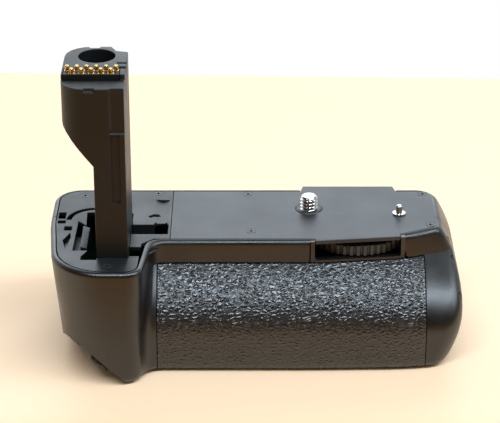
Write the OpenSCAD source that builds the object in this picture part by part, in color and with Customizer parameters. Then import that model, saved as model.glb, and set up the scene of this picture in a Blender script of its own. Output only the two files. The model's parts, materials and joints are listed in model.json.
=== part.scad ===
// Camera battery grip with a vertical shutter release: a moulded body that stands on the
// table, a tower that goes into the camera's battery compartment, and a tripod screw that is
// turned by a dial. X runs to the right seen from the front, Y to the back, Z up.

/* [Body] */
// Width from the left side to the swell of the right end
body_w = 147.6; // [146:0.2:158]
// Depth from the front of the left block to the plate's rear tab
body_d = 72.5; // [72:0.5:78]
// Height of the deck and of the top plate
deck_z = 44; // [43.5:0.5:48]
// Thickness of the moulded shells
wall = 2.2; // [2:0.1:2.5]
// Thickness of the top plate and of the deck
top_t = 1.6; // [1.4:0.1:2]
// Thickness of the base cover
base_t = 2.2; // [1.8:0.1:2.6]
// Width of the shells' rim around the top
rim_w = 2; // [1.8:0.1:2.4]
// Radius of the rim's outer edge
rim_r = 1.8; // [1:0.1:1.8]
// Radius of the bottom edge
edge_r = 3.5; // [2.5:0.1:4]
// Height of the plain band under the rim
band_h = 8.5; // [8:0.1:9]
// How far the band stands behind the left block's front
band_set = 25.75; // [24:0.25:27]
// How far the belly stands behind the left block's front
belly_set = 9.75; // [8:0.25:11]
// Height up to which the belly is upright
belly_h = 14; // [10:0.5:16]
// How far the right end draws in from its swell to the rim
end_swell = 7.5; // [5:0.5:9]
// Height of the swell
swell_z = 21; // [18:0.5:24]
// Width of the left block
block_w = 35; // [34:0.5:37]
// How far the left side leans in per millimetre of height
side_lean = 0.1; // [0.05:0.01:0.12]
// Angle by which the left side turns in towards the front
side_taper = 5.5; // [4:0.1:6]

/* [Grip panel] */
// Thickness of the textured panel
panel_t = 1; // [0.8:0.1:1.2]
// Left edge of the panel, from the body's left side
panel_left = 39; // [38:0.5:42]
// Right edge of the panel, from the body's right side
panel_right = 13.3; // [12:0.1:18]

/* [Tower] */
// Height of the tower over the deck
tower_h = 64.8; // [60:0.2:70]
// Distance of the tower's right face from the left side
tower_in = 29.5; // [29:0.1:30.5]
// Width of the tower's neck
neck_w = 11; // [10.5:0.1:12]
// Width of the tower's head
head_w = 21.8; // [21:0.1:23]
// Depth of the tower
tower_d = 35.8; // [34:0.1:37]
// Wall of the tower
tower_wall = 1.6; // [1.2:0.1:1.8]
// Height of the step behind the tower's front ledge
ledge_step = 1.8; // [1:0.1:2.4]
// Radius of the round well in the tower's top
well_r = 6.4; // [5:0.1:6.6]
// Depth of the round well
well_h = 8; // [5:0.5:10]

/* [Contacts] */
// Radius of a contact pin
pin_r = 0.75; // [0.6:0.05:0.8]
// Height of a contact pin over the tower
pin_h = 1.9; // [1.5:0.1:2.4]
// Distance between contact pins in a row
pin_pitch = 3.33; // [3.1:0.01:3.4]
// Pins in the back row, one more than in the front row
pin_count = 6; // [3:1:6]
// Travel of a contact pin
pin_travel = 1; // [0.5:0.1:1.2]

/* [Tripod screw and dial] */
// Gap between the attachment dial and the rear shell's wall
dial_clear = 1.7; // [1.2:0.1:3]
// Distance of the dial's centre from the left side
dial_in = 110.4; // [108:0.1:112]
// How far the dial stands behind the band's face
dial_set = 0.6; // [0.5:0.1:1.2]
// Height of the dial's rim
dial_h = 3.6; // [3:0.1:3.8]
// Ridges on the dial
dial_ridges = 48; // [36:1:60]
// Module of the gears
gear_m = 0.6; // [0.55:0.01:0.62]
// Teeth of the dial's gear
dial_teeth = 40; // [36:2:42]
// Teeth of the screw's pinion
screw_teeth = 20; // [16:2:22]
// Height of the gears
gear_h = 1.2; // [1:0.1:1.3]
// Radius of the tripod screw
screw_r = 3.175; // [3:0.005:4.7]
// Height of the tripod screw over the plate
screw_h = 5.2; // [4:0.1:7]
// Radius of the screw's journal in the plate
journal_r = 4.9; // [4.8:0.1:5]
// Radius of the locating pin
locator_r = 1.1; // [0.8:0.05:1.5]
// Height of the locating pin over the plate
locator_h = 3.6; // [2:0.1:4.5]

/* [Battery chamber] */
// Length of the chamber
chamber_l = 56; // [52:1:57]
// Distance of the chamber's front from the belly's face
chamber_set = 13.5; // [13.3:0.1:14.5]
// Wall of the chamber
chamber_wall = 1.2; // [1:0.1:1.4]
// Radius of the door's hinge pin
hinge_r = 0.8; // [0.6:0.05:1]

/* [Controls] */
// Angle of the slope under the left block, with the command dial
slope_a = 22.3; // [18:0.1:24]
// Where the slope meets the belly's height, from the left side
slope_in = 18.5; // [17:0.1:19]
// Angle of the corner facet that carries the shutter button
corner_a = 49.6; // [47:0.1:51]
// Turn of the corner facet from the left side to the front
corner_turn = 34.2; // [32:0.1:36]
// Radius of the shutter button
shutter_r = 4.2; // [3.6:0.1:4.4]
// Travel of the shutter button
shutter_travel = 1; // [0.6:0.1:1.2]
// Radius of the command dial
wheel_r = 9; // [8:0.1:9.5]
// Width of the command dial
wheel_w = 8; // [6:0.5:9]
// Radius of the rear buttons
button_r = 3.2; // [2.5:0.1:3.6]
// Travel of the rear buttons
button_travel = 0.8; // [0.5:0.1:1]
// Radius of the power switch
switch_r = 5; // [4:0.1:5.5]

/* [Tripod socket] */
// Radius of the threaded hole at its crests
socket_r = 2.6; // [2.4:0.05:4.2]
// Depth of the threaded hole
socket_h = 7; // [5:0.5:8]

/* [Fits] */
// Gap around pieces that are set into another
fit = 0.1; // [0.05:0.05:0.15]
// Gap around pieces that slide or turn in a shell
run = 0.35; // [0.3:0.05:0.45]
// Gap of a shaft in its bore
shaft_fit = 0.05; // [0.03:0.01:0.08]

/* [Hidden] */
$fn = 48;

// Places of the body's faces
tab_out = 2.25;
left_x = -body_w / 2;
right_x = body_w / 2;
front_y = -body_d / 2;
back_y = body_d / 2 - tab_out;
band_y = front_y + band_set;
belly_y = front_y + belly_set;
band_z = deck_z - band_h;
block_x = left_x + block_w;
seat_z = deck_z - top_t;
split_y = 10;
taper_y = split_y - 5;
far = 200;

// Corner radii of the plan
left_front_r = 20;
block_r = 6.5;
back_r = 10;
end_back_r = 7;
end_front_r = 8;
valley = 4;
block_flare = 2.5;
bend_x = left_x + 95;
band_fall = 9.5;
belly_fall = 2;
bend_share = [0.67, 0.38];

function arc(c, r, a0, a1, n) =
    [for (i = [0 : n]) c + r * [cos(a0 + (a1 - a0) * i / n), sin(a0 + (a1 - a0) * i / n)]];

// Share of the way from the belly to the band at height z
function rise(z) = z >= band_z ? 1 : z <= belly_h ? 0 : pow((z - belly_h) / (band_z - belly_h), 2);
function face_y(z) = belly_y + (band_y - belly_y) * rise(z);
function swell_in(z) = end_swell * pow((z - swell_z) / (deck_z - swell_z), 2);
function edge_in(z) =
    z < edge_r ? edge_r - sqrt(pow(edge_r, 2) - pow(edge_r - z, 2))
    : z > deck_z - rim_r ? rim_r - sqrt(pow(rim_r, 2) - pow(z - deck_z + rim_r, 2)) : 0;

// Plan of the main body at height z, drawn in by t
function main_plan(z, t) =
    let (e = edge_in(z) + t, x1 = right_x - swell_in(z) - e, y0 = face_y(z) + e,
        y1 = back_y - e, fall = belly_fall + (band_fall - belly_fall) * rise(z),
        rf = max(end_front_r * (1 - rise(z) / 2) - e, 0.8), rb = max(end_back_r - e, 0.8))
    concat(
        [[block_x - block_r, y0], [bend_x, y0],
            [bend_x + (x1 - bend_x) * bend_share[0], y0 + fall * bend_share[1]]],
        arc([x1 - rf, y0 + fall + rf], rf, -66, 0, 4),
        arc([x1 - rb, y1 - rb], rb, 0, 90, 5),
        [[block_x - block_r, y1]]);

// Plan of the left block at height z, drawn in by t
function block_plan(z, t) =
    let (e = edge_in(z) + t, x0 = left_x + side_lean * (deck_z - rim_r - min(z, deck_z - rim_r)) + e,
        x1 = block_x - e, y0 = front_y + e, y1 = back_y - e, rl = left_front_r - e,
        rs = max(block_r - e, 0.8), rb = max(back_r - e, 0.8), turn_in = rl * sin(side_taper),
        xl = x0 + (taper_y - y0 - rl + turn_in) * tan(side_taper) + rl * cos(side_taper))
    concat(
        [[x0, taper_y]],
        arc([xl, y0 + rl], rl, 180 + side_taper, 270, 6),
        arc([x1 - rs, y0 + rs], rs, 270, 356, 5),
        [[x1 + block_flare, y1]],
        arc([x0 + rb, y1 - rb], rb, 90, 180, 5));

// Plan of the filled corner between the left block and the belly
function valley_plan(z, t) =
    let (e = edge_in(z) + t, y0 = face_y(z) + e, x1 = block_x + block_flare / 3 - e)
    [[x1 - block_r, y0 - valley], [x1, y0 - valley], [x1 + valley, y0], [x1 + valley, y0 + valley],
        [x1 - block_r, y0 + valley]];

rise_steps = 5;
levels = concat(
    [0, 0.12 * edge_r, 0.45 * edge_r, edge_r],
    [for (i = [0 : rise_steps]) belly_h + (band_z - belly_h) * i / rise_steps],
    [deck_z - rim_r, deck_z - 0.4 * rim_r, deck_z]);

function lift(plan, z) = [for (p = plan) [p[0], p[1], z]];

// Solid between two plans at two heights
module layer(a, z0, b, z1) {
    hull() polyhedron(
        points = concat(lift(a, z0), lift(b, z1)),
        faces = [[for (i = [0 : len(a) - 1]) i], [for (i = [0 : len(b) - 1]) len(a) + i]]);
}

// The body's outer form, drawn in by t
module form(t) {
    for (i = [0 : len(levels) - 2]) {
        z0 = levels[i];
        z1 = levels[i + 1];
        layer(main_plan(z0, t), z0, main_plan(z1, t), z1);
        layer(block_plan(z0, t), z0, block_plan(z1, t), z1);
        layer(valley_plan(z0, t), z0, valley_plan(z1, t), z1);
    }
}

module plan(z, t) {
    polygon(main_plan(z, t));
    polygon(block_plan(z, t));
    polygon(valley_plan(z, t));
}

module block_of(a, b) {
    translate(a) cube(b - a);
}

// Rounded rectangle centred on the origin
module round_plate(w, d, r) {
    square([w - 2 * r, d], center = true);
    square([w, d - 2 * r], center = true);
    for (x = [-1, 1], y = [-1, 1]) translate([x * (w / 2 - r), y * (d / 2 - r)]) circle(r);
}

// Seat in the shells that carries the plate and the deck
seat_w = 1.8;
seat_h = 1.6;
rim_plan_z = deck_z - rim_r;

// Space inside the shells, drawn in by t
module cavity(t) {
    intersection() {
        form(wall + t);
        block_of([-far, -far, base_t], [far, far, seat_z - seat_h]);
    }
    translate([0, 0, -1]) linear_extrude(base_t + 1.01) plan(0, wall + t);
    translate([0, 0, seat_z - seat_h - 0.01]) linear_extrude(seat_h + 0.02)
        plan(rim_plan_z, rim_w + seat_w + t);
    translate([0, 0, seat_z]) linear_extrude(top_t + 1) plan(rim_plan_z, rim_w + t);
}

// Lower left slope that carries the command dial
slope_x = left_x + slope_in;
slope_z = 2.9;
function slope_at(x) = slope_z + (slope_x - x) * tan(slope_a);

module on_slope(x, y) {
    translate([x, y, slope_at(x)]) rotate([0, 180 + slope_a, 0]) children();
}

// Facet across the lower left front corner, with the shutter button
corner_x = left_x + 25;
corner_z = 4.3;
function corner_at(x, y) = corner_z + tan(corner_a)
    * ((corner_x - x) * cos(corner_turn) + (front_y - y) * sin(corner_turn));

module on_corner(x, y) {
    translate([x, y, corner_at(x, y)]) rotate(corner_turn) rotate([0, 180 + corner_a, 0]) children();
}

// Everything under the slope and under the facet, and a layer of the body over them
module below_slope(depth) {
    on_slope(slope_x, 0) translate([-far, -far, -depth]) cube([2 * far, 2 * far, far]);
    on_corner(corner_x, front_y) translate([-far, -far, -depth]) cube([2 * far, 2 * far, far]);
}

// Battery chamber and the door at the right end
door_gap = run;
mouth_x = right_x - 7.8;
chamber_x = mouth_x - chamber_l;
chamber_clear = 0.5;
chamber_y1 = back_y - wall - chamber_clear - chamber_wall;
chamber_y0 = belly_y + chamber_set;
chamber_z0 = base_t + chamber_wall;
dial_z0 = deck_z - top_t - 0.3 - gear_h - 0.3 - dial_h;
chamber_z1 = dial_z0 - 3.2 - chamber_wall;
door_t = chamber_wall + 0.3;
door_y = [chamber_y0 - door_t, chamber_y1 + door_t];
door_x = mouth_x + door_gap;
knuckle_r = 1.7;
hinge_x = right_x - 3.9;
hinge_y = door_y[1] - 1;
hinge_z = [10, 32];
knuckle_z = [14.5, 27.5];

// Section of the chamber, with its upper front corner cut off under the sloping belly
chamfer = [12, 8];
function chamber_section(t) = [
    [chamber_y0 - t, chamber_z0 - t], [chamber_y1 + t, chamber_z0 - t], [chamber_y1 + t, chamber_z1 + t],
    [chamber_y0 - t + chamfer[0], chamber_z1 + t], [chamber_y0 - t, chamber_z1 + t - chamfer[1]]];

module along_x(x0, x1) {
    translate([x0, 0, 0]) rotate([90, 0, 90]) linear_extrude(x1 - x0) children();
}

module door_space() {
    along_x(door_x - 6, far) polygon(chamber_section(door_t));
}

// Dial, gears and screw
dial_x = left_x + dial_in;
function band_at(x) =
    let (x1 = right_x - swell_in(rim_plan_z))
    band_y + max(0, x - bend_x) * band_fall * bend_share[1] / ((x1 - bend_x) * bend_share[0]);
dial_front = band_at(dial_x) + dial_set;
dial_r = (back_y - wall - dial_clear - dial_front) / 2;
dial_y = dial_front + dial_r;
gear_dist = gear_m * (dial_teeth + screw_teeth) / 2;
mesh_dir = 161;
screw_x = dial_x + gear_dist * cos(mesh_dir);
screw_y = dial_y + gear_dist * sin(mesh_dir);
locator_x = screw_x + 32.6;
locator_y = screw_y - 4.7;
gear_z = seat_z - 0.3 - gear_h;
stud_r = 3;
window_x = [dial_x - 15.5, dial_x + 15.2];
window_z = [dial_z0 - run, deck_z + 1];

// Top plate
plate_x = left_x + 43.6;
tab_x = [dial_x - 19.8, dial_x + 15.6];
plate_screw_at = [[left_x + 71.2, back_y - 4.6], [left_x + 72.3, band_y + 8.5],
    [right_x - 11.9, back_y - 4.6], [right_x - 10.8, band_y + 13.8]];
screw_head_r = 1.7;
screw_head_h = 1;
screw_shank_r = 0.9;
screw_shank_h = 6;
boss_r = 2.6;
boss_h = 5;

module screw_hole(r = 1) {
    translate([0, 0, -screw_shank_h - 1]) cylinder(r = r, h = screw_shank_h + 2);
}

// Countersunk screw with its head's top at the origin
module small_screw() {
    difference() {
        union() {
            translate([0, 0, -screw_head_h])
                cylinder(r1 = screw_shank_r, r2 = screw_head_r, h = screw_head_h);
            translate([0, 0, -screw_shank_h])
                cylinder(r = screw_shank_r, h = screw_shank_h - screw_head_h + 0.1);
        }
        for (a = [0, 90]) rotate(a) translate([-0.9, -0.2, -0.5]) cube([1.8, 0.4, 1]);
    }
}

module countersink() {
    translate([0, 0, -screw_head_h])
        cylinder(r1 = screw_shank_r + 0.05, r2 = screw_head_r + 0.05, h = screw_head_h + 0.001);
    translate([0, 0, -far / 10]) cylinder(r = screw_shank_r + 0.05, h = far / 10);
}

// Boss under a plate screw, tied to the shell by a rib
module plate_boss(p, tie) {
    difference() {
        hull() {
            translate([p[0], p[1], seat_z - boss_h]) cylinder(r = boss_r, h = boss_h);
            translate([tie[0], tie[1], seat_z - boss_h]) cylinder(r = 1, h = boss_h);
        }
        translate([p[0], p[1], seat_z]) screw_hole();
    }
}

base_screw_in = [8.7, 8.2];
base_screw_x = left_x + 45;
base_screw_at = [[base_screw_x, belly_y + base_screw_in[0]], [right_x - 35, belly_y + base_screw_in[0]],
    [base_screw_x, back_y - base_screw_in[1]], [base_screw_x + 28, back_y - base_screw_in[1]]];
base_boss_h = 8;

module base_boss(p, tie_y) {
    difference() {
        hull() {
            translate([p[0], p[1], base_t + fit]) cylinder(r = boss_r, h = base_boss_h);
            translate([p[0] - 1, tie_y - 0.3, base_t + 1]) cube([2, 0.8, base_boss_h - 1]);
        }
        translate([p[0], p[1], base_t]) cylinder(r = 1, h = base_boss_h - 1);
    }
}

// Lower edge of the textured panel
panel_z = 0.6;

module panel_space() {
    block_of([left_x + panel_left, -far, panel_z - fit], [right_x - panel_right, split_y, band_z]);
}

// Shells
module shell_walls() {
    difference() {
        form(0);
        cavity(0);
        door_space();
        below_slope(0);
    }
}

module window_cut() {
    block_of([window_x[0], -far, window_z[0]], [window_x[1], dial_y, window_z[1]]);
}

module front_shell() color("#26282b") {
    difference() {
        intersection() {
            shell_walls();
            block_of([-far, -far, -1], [far, split_y, far]);
        }
        difference() {
            panel_space();
            form(panel_t);
        }
        window_cut();
        for (i = [1, 3]) translate([plate_screw_at[i][0], plate_screw_at[i][1], seat_z]) screw_hole();
        on_corner(shutter_x, shutter_y) translate([0, 0, -slope_t]) cylinder(r = shutter_r + run, h = far);
    }
    plate_boss(plate_screw_at[1], [plate_screw_at[1][0], band_y + wall - 0.5]);
    plate_boss(plate_screw_at[3], [right_x - swell_in(seat_z) - wall + 0.5, plate_screw_at[3][1] + 1]);
    for (i = [0, 1]) base_boss(base_screw_at[i], belly_y + wall - 0.5);
}

button_x = [left_x + 19, left_x + 29];
button_z = 24;
switch_x = left_x + 24;
switch_z = 35.2;
pad_x = [left_x + 38, left_x + 60];
pad_z = [8, 34];
pad_set = 0.8;
pad_proud = 1.1;
pad_r = 5;

module pad_form(grow, h) {
    translate([(pad_x[0] + pad_x[1]) / 2, back_y - pad_set, (pad_z[0] + pad_z[1]) / 2])
        rotate([-90, 0, 0]) linear_extrude(h)
        round_plate(pad_x[1] - pad_x[0] + 2 * grow, pad_z[1] - pad_z[0] + 2 * grow, pad_r + grow);
}

module rear_hole(x, z, r) {
    translate([x, back_y - wall - 4, z]) rotate([-90, 0, 0]) cylinder(r = r, h = wall + 8);
}

module hinge_round(r, z) {
    translate([hinge_x, hinge_y, z[0]]) cylinder(r = r, h = z[1] - z[0]);
}

// Room for the door's edge, which turns about the hinge as the door opens
door_edge_r = 3.6;
door_edge_a = [-30, 106];
module door_swing() {
    translate([hinge_x, hinge_y, chamber_z0 - door_t]) linear_extrude(chamber_z1 - chamber_z0 + 2 * door_t)
        polygon(concat([[0, 0]], arc([0, 0], door_edge_r, door_edge_a[0], door_edge_a[1], 8)));
}

module rear_shell() color("#26282b") {
    difference() {
        union() {
            difference() {
                intersection() {
                    shell_walls();
                    block_of([-far, split_y, -1], [far, far, far]);
                }
                hinge_round(knuckle_r + run, [hinge_z[0] - run, hinge_z[1] + run]);
                door_swing();
            }
            // Ears that carry the door's hinge pin
            for (z = [[hinge_z[0], knuckle_z[0] - run], [knuckle_z[1] + run, hinge_z[1]]]) hull() {
                hinge_round(knuckle_r, z);
                translate([hinge_x - 2.2, door_y[1] + 0.6, z[0]]) cylinder(r = 0.9, h = z[1] - z[0]);
            }
            plate_boss(plate_screw_at[0], [plate_screw_at[0][0], back_y - wall + 0.5]);
            plate_boss(plate_screw_at[2], [plate_screw_at[2][0], back_y - wall + 0.5]);
            for (i = [2, 3]) base_boss(base_screw_at[i], back_y - wall + 0.5);
        }
        hinge_round(hinge_r + shaft_fit, [hinge_z[0] - run, hinge_z[1] + run]);
        for (p = [plate_screw_at[0], plate_screw_at[2], deck_screw_at[1], deck_screw_at[2]])
            translate([p[0], p[1], seat_z]) screw_hole();
        for (x = button_x) rear_hole(x, button_z, button_r + run);
        rear_hole(switch_x, switch_z, stud_r / 2 + 0.1);
        pad_form(0.05, 3);
        block_of([tab_x[0] - fit, back_y - wall - 1, seat_z], [tab_x[1] + fit, far, far]);
    }
}

module base_cover() color("#2b2c2e") {
    difference() {
        linear_extrude(base_t) plan(0, wall + fit);
        below_slope(slope_t + fit);
        for (p = base_screw_at) translate([p[0], p[1], 0]) mirror([0, 0, 1]) countersink();
        translate([socket_x, socket_y, -1]) cylinder(r = bush_r + fit, h = base_t + 2);
    }
}

module grip_panel() color("#2f3338") {
    intersection() {
        difference() {
            form(0);
            form(panel_t);
        }
        block_of([left_x + panel_left + fit, -far, panel_z],
            [right_x - panel_right - fit, split_y, band_z - fit]);
    }
}

module thumb_pad() color("#2c2e31") {
    pad_form(0, pad_set + pad_proud);
}

// Metal top plate with a lip over the dial window and a tab at the back
module plate_outline() {
    intersection() {
        plan(rim_plan_z, rim_w + fit);
        translate([plate_x, -far]) square(2 * far);
    }
    intersection() {
        plan(rim_plan_z, 0.3);
        translate([window_x[0] + fit, -far]) square([window_x[1] - window_x[0] - 2 * fit, far]);
    }
    translate([tab_x[0], 0]) square([tab_x[1] - tab_x[0], body_d / 2]);
}

module top_plate() color("#6d7178") {
    difference() {
        translate([0, 0, seat_z]) linear_extrude(top_t) plate_outline();
        translate([screw_x, screw_y, 0]) cylinder(r = journal_r + shaft_fit, h = far);
        translate([locator_x, locator_y, 0]) cylinder(r = locator_r, h = far);
        for (p = plate_screw_at) translate([p[0], p[1], deck_z]) countersink();
    }
}

// Deck around the tower, with the recesses that hold the camera's battery cover
tower_x1 = left_x + tower_in;
neck_x0 = tower_x1 - neck_w;
head_x0 = tower_x1 - head_w;
tower_y0 = front_y + 12.75;
tower_y1 = tower_y0 + tower_d;
tower_z1 = deck_z + tower_h;
slot_y = [tower_y0 + 18.9, tower_y0 + 26.6];
slot_x1 = plate_x - 1;
slot_h = 5;
recess_y = [tower_y0 + 1.4, tower_y0 + 8.5];
recess_x1 = block_x - rim_w + 0.6;
tray_t = 1;
arch_r = 2.5;
clip_y = [tower_y0 + 7.9, tower_y0 + 25];
clip_x = neck_x0 - 5.2;
groove_x = slot_x1 - arch_r - 0.2;
deck_screw_at = [[left_x + 22.6, front_y + 6.4], [left_x + 38, back_y - 4.2], [left_x + 11, back_y - 6]];

module deck_plan() {
    difference() {
        intersection() {
            plan(rim_plan_z, rim_w + fit);
            translate([plate_x - fit - 2 * far, -far]) square(2 * far);
        }
        translate([neck_x0 - fit, tower_y0 - fit]) square([neck_w + 2 * fit, tower_d + 2 * fit]);
        // Open well beside the neck, and the gap that the cover clip stands in
        polygon([[neck_x0 - 5.7, tower_y1 + 0.9], [neck_x0, tower_y1 + 1.4], [neck_x0, tower_y0 - 1.5],
            [neck_x0 - 5.5, tower_y0 - 1.5], [neck_x0 - 5.5, tower_y0 + 1.2], [neck_x0 - 3.4, tower_y0 + 5.8],
            [neck_x0 - 8.8, clip_y[0] - 2.1], [neck_x0 - 8.4, clip_y[1] + 4.5],
                [neck_x0 - 5.3, tower_y0 + 25.9]]);
        // Small catches for the cover
        translate([left_x + 2.6, tower_y0 + 31.7]) square([2.6, 5.2]);
        translate([left_x + 2.7, tower_y0 + 27.7]) square([2.8, 2.5]);
        translate([left_x + 5.4, tower_y0 + 22]) square([2.8, 3.3]);
        polygon([[left_x + 7.8, tower_y0 + 19.9], [left_x + 8.3, tower_y0 + 16.8],
            [left_x + 7.1, tower_y0 + 6.8], [left_x + 5.6, tower_y0 + 14]]);
        // Curved slot for the cover's rounded end
        polygon(concat(arc([neck_x0 - 2.5, tower_y0 + 30.5], 10.4, 90, 178, 8),
            arc([neck_x0 - 2.5, tower_y0 + 30.5], 8.6, 178, 90, 8)));
        translate([groove_x - 2.6, slot_y[1] + 7.9]) rotate(38.6) square([4.6, 1.6], center = true);
    }
}

module tray(x0, x1, y, h) {
    block_of([x0, y[0] - tray_t, deck_z - h - tray_t], [x1 + tray_t, y[1] + tray_t, seat_z]);
}

module tower_deck() color("#5d6168") {
    difference() {
        union() {
            translate([0, 0, seat_z]) linear_extrude(top_t) deck_plan();
            tray(tower_x1 + 0.3, slot_x1, slot_y, slot_h);
        }
        block_of([tower_x1 - 1, slot_y[0], deck_z - slot_h], [slot_x1, slot_y[1], far]);
        translate([groove_x, slot_y[1], deck_z - slot_h]) cylinder(r = arch_r, h = far);
        block_of([tower_x1 - 1, recess_y[0], 0], [recess_x1, recess_y[1], far]);
        // Shallow round groove behind the slot
        translate([groove_x, slot_y[1] + 2, deck_z + 4.2]) rotate([-90, 0, 0]) cylinder(r = 5, h = 19);
        for (p = deck_screw_at) translate([p[0], p[1], deck_z]) countersink();
    }
}

// Spring clip that holds the camera's battery cover
module cover_clip() color("#4a4c4e") {
    clip_t = 2.4;
    clip_reach = 7.2;
    translate([0, clip_y[1], 0]) rotate([90, 0, 0]) linear_extrude(clip_y[1] - clip_y[0])
        polygon([[clip_x - 1.1, deck_z + 0.4], [clip_x - 1.1 + clip_t, deck_z - 0.4],
            [clip_x + 0.6 + clip_t - 1, seat_z - 4], [clip_x + 0.6 - 1, seat_z - 4]]);
    block_of([clip_x - clip_reach, clip_y[0], seat_z - 3.6], [clip_x + 0.5, clip_y[1], seat_z - 2.4]);
    block_of([clip_x - clip_reach, clip_y[0], seat_z - 3.6],
        [clip_x - clip_reach + 1.2, clip_y[1] - 10, seat_z]);
}

// Tower: one side view and one plan, cut through each other
module tower_side(t) {
    z0 = seat_z - 2.4;
    rotate([90, 0, 0]) translate([0, 0, -far]) linear_extrude(2 * far)
        polygon([[tower_x1 - t, z0 - (t > 0 ? 1 : 0)], [neck_x0 + t, z0 - (t > 0 ? 1 : 0)],
            [neck_x0 + t, deck_z + tower_h * 0.532 + t * 0.6],
                [head_x0 + t, deck_z + tower_h * 0.74 + t * 0.6],
            [head_x0 + t, tower_z1 - t], [tower_x1 - t, tower_z1 - t]]);
}

head_r = [8.5, 9];
function tower_plan(t) = concat(
    arc([head_x0 + head_r[0], tower_y0 + head_r[0]], head_r[0] - t, 180, 270, 5),
    [[tower_x1 - t, tower_y0 + t], [tower_x1 - t, tower_y1 - 5.1 - t * 0.4],
        [tower_x1 - 4.1 - t * 0.3, tower_y1 - 4 - t * 0.6],
        [tower_x1 - 6 - t * 0.6, tower_y1 - t]],
    arc([head_x0 + head_r[1], tower_y1 - head_r[1]], head_r[1] - t, 90, 180, 5));

holder_x = [head_x0 + 0.8, tower_x1 - 2];
holder_y = [tower_y0 + 9.2, tower_y0 + 14.9];
holder_z0 = tower_z1 - 6;
tower_split = holder_y[1];
well_x = head_x0 + 11.2;
well_y = tower_y0 + 26.7;

module tower_body() {
    difference() {
        intersection() {
            tower_side(0);
            linear_extrude(far) polygon(tower_plan(0));
        }
        intersection() {
            tower_side(tower_wall);
            linear_extrude(far) polygon(tower_plan(tower_wall));
            block_of([-far, -far, 0], [far, far, tower_z1 - tower_wall - ledge_step]);
        }
        // Front ledge, and the recess at its right end
        block_of([-far, -far, tower_z1 - ledge_step], [far, holder_y[0], far]);
        translate([0, 0, deck_z + tower_h * 0.72]) linear_extrude(far)
            polygon([[tower_x1 - 6, tower_y0 - 1], [tower_x1 - 4.5, tower_y0 + 0.9],
                [tower_x1 + 1, tower_y0 + 0.9],
                [tower_x1 + 1, tower_y0 - 1]]);
    }
    // Tabs under the deck
    for (y = [[tower_y0 - 2.2, tower_y0 + tower_wall], [tower_y1 - tower_wall - 0.2, tower_y1 + 2.2]])
        block_of([neck_x0 + 3, y[0], seat_z - 2.4], [tower_x1 - 2.5, y[1], seat_z]);
}

module holder_space(grow) {
    block_of([holder_x[0] - grow, holder_y[0] - (grow > 0 ? 1 : 0), holder_z0 - grow],
        [holder_x[1] + grow, holder_y[1], far]);
}

// Groove down the tower's front, notch in its ledge
groove_r = neck_w * 0.127;
groove_in = neck_w * 0.31;
groove_z = tower_h * 0.34;
groove_h = tower_h * 0.37;
notch_x = [head_w * 0.376, head_w * 0.541];
notch_d = 1.2;

module tower_front() color("#1f1f1f") {
    difference() {
        intersection() {
            tower_body();
            block_of([-far, -far, 0], [far, tower_split, far]);
        }
        holder_space(fit);
        translate([tower_x1 - groove_in, tower_y0, deck_z + groove_z]) rotate([90, 0, 0])
            linear_extrude(tower_wall, center = true) union() {
                circle(groove_r);
                translate([-groove_r, 0]) square([2 * groove_r, groove_h]);
            }
        block_of([head_x0 + notch_x[0], tower_y0 - 1, tower_z1 - ledge_step - notch_d],
            [head_x0 + notch_x[1], tower_y0 + notch_d, far]);
    }
}

module tower_back() color("#1f1f1f") {
    difference() {
        union() {
            intersection() {
                tower_body();
                block_of([-far, tower_split, 0], [far, far, far]);
            }
            translate([well_x, well_y, tower_z1 - well_h - tower_wall])
                cylinder(r = well_r + tower_wall * 0.9, h = well_h + tower_wall - 0.2);
        }
        translate([well_x, well_y, tower_z1 - well_h]) cylinder(r = well_r, h = far);
        // Slots in the right edge, notch in the back edge
        for (y = [0.7, 4.6]) block_of([tower_x1 - 3.2, holder_y[1] + y, tower_z1 - 2.2],
            [far, holder_y[1] + y + 1.1, far]);
        block_of([head_x0 + notch_x[0], tower_y1 - notch_d, tower_z1 - notch_d],
            [head_x0 + notch_x[1], far, far]);
        for (p = tower_screw_at) translate([p[0], tower_y1, p[1]]) rotate([-90, 0, 0]) countersink();
    }
}

tower_screw_at = [[neck_x0 + 3.5, deck_z + 12], [neck_x0 + 3.5, deck_z + 46]];

// Contacts
pin_z0 = holder_z0 + 0.5;
barrel_r = pin_r + shaft_fit + 0.2;
row_y = [holder_y[1] - 1.7, holder_y[0] + 1.2];
pin_x0 = (holder_x[0] + holder_x[1]) / 2 - pin_pitch * (pin_count - 1) / 2;
pin_at = concat(
    [for (i = [0 : pin_count - 1]) [pin_x0 + pin_pitch * i, row_y[0]]],
    [for (i = [0 : pin_count - 2]) [pin_x0 + pin_pitch * (i + 0.5), row_y[1]]]);

module contact_holder() color("#222222") {
    difference() {
        block_of([holder_x[0], holder_y[0], holder_z0], [holder_x[1], holder_y[1], tower_z1]);
        for (p = pin_at) translate([p[0], p[1], pin_z0]) cylinder(r = barrel_r, h = far);
    }
}

module contact_barrels() color("#b8963c") {
    for (p = pin_at) translate([p[0], p[1], pin_z0]) difference() {
        cylinder(r = barrel_r, h = tower_z1 - pin_z0);
        translate([0, 0, 0.4]) cylinder(r = pin_r + shaft_fit, h = far);
    }
}

module contact_pins() color("#d9b44a") {
    for (p = pin_at) translate([p[0], p[1], 0]) {
        translate([0, 0, pin_z0 + 0.4 + pin_travel + 0.2])
            cylinder(r = pin_r, h = tower_z1 + pin_h - pin_r / 2 - (pin_z0 + 0.4 + pin_travel + 0.2));
        translate([0, 0, tower_z1 + pin_h - pin_r / 2]) cylinder(r1 = pin_r, r2 = pin_r / 2, h = pin_r / 2);
    }
}

// Attachment dial with its gear, and the screw with its pinion
function inv_angle(r, base) = let (t = sqrt(pow(r / base, 2) - 1)) t * 180 / PI - atan(t);
gear_play = 0.09;

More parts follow.
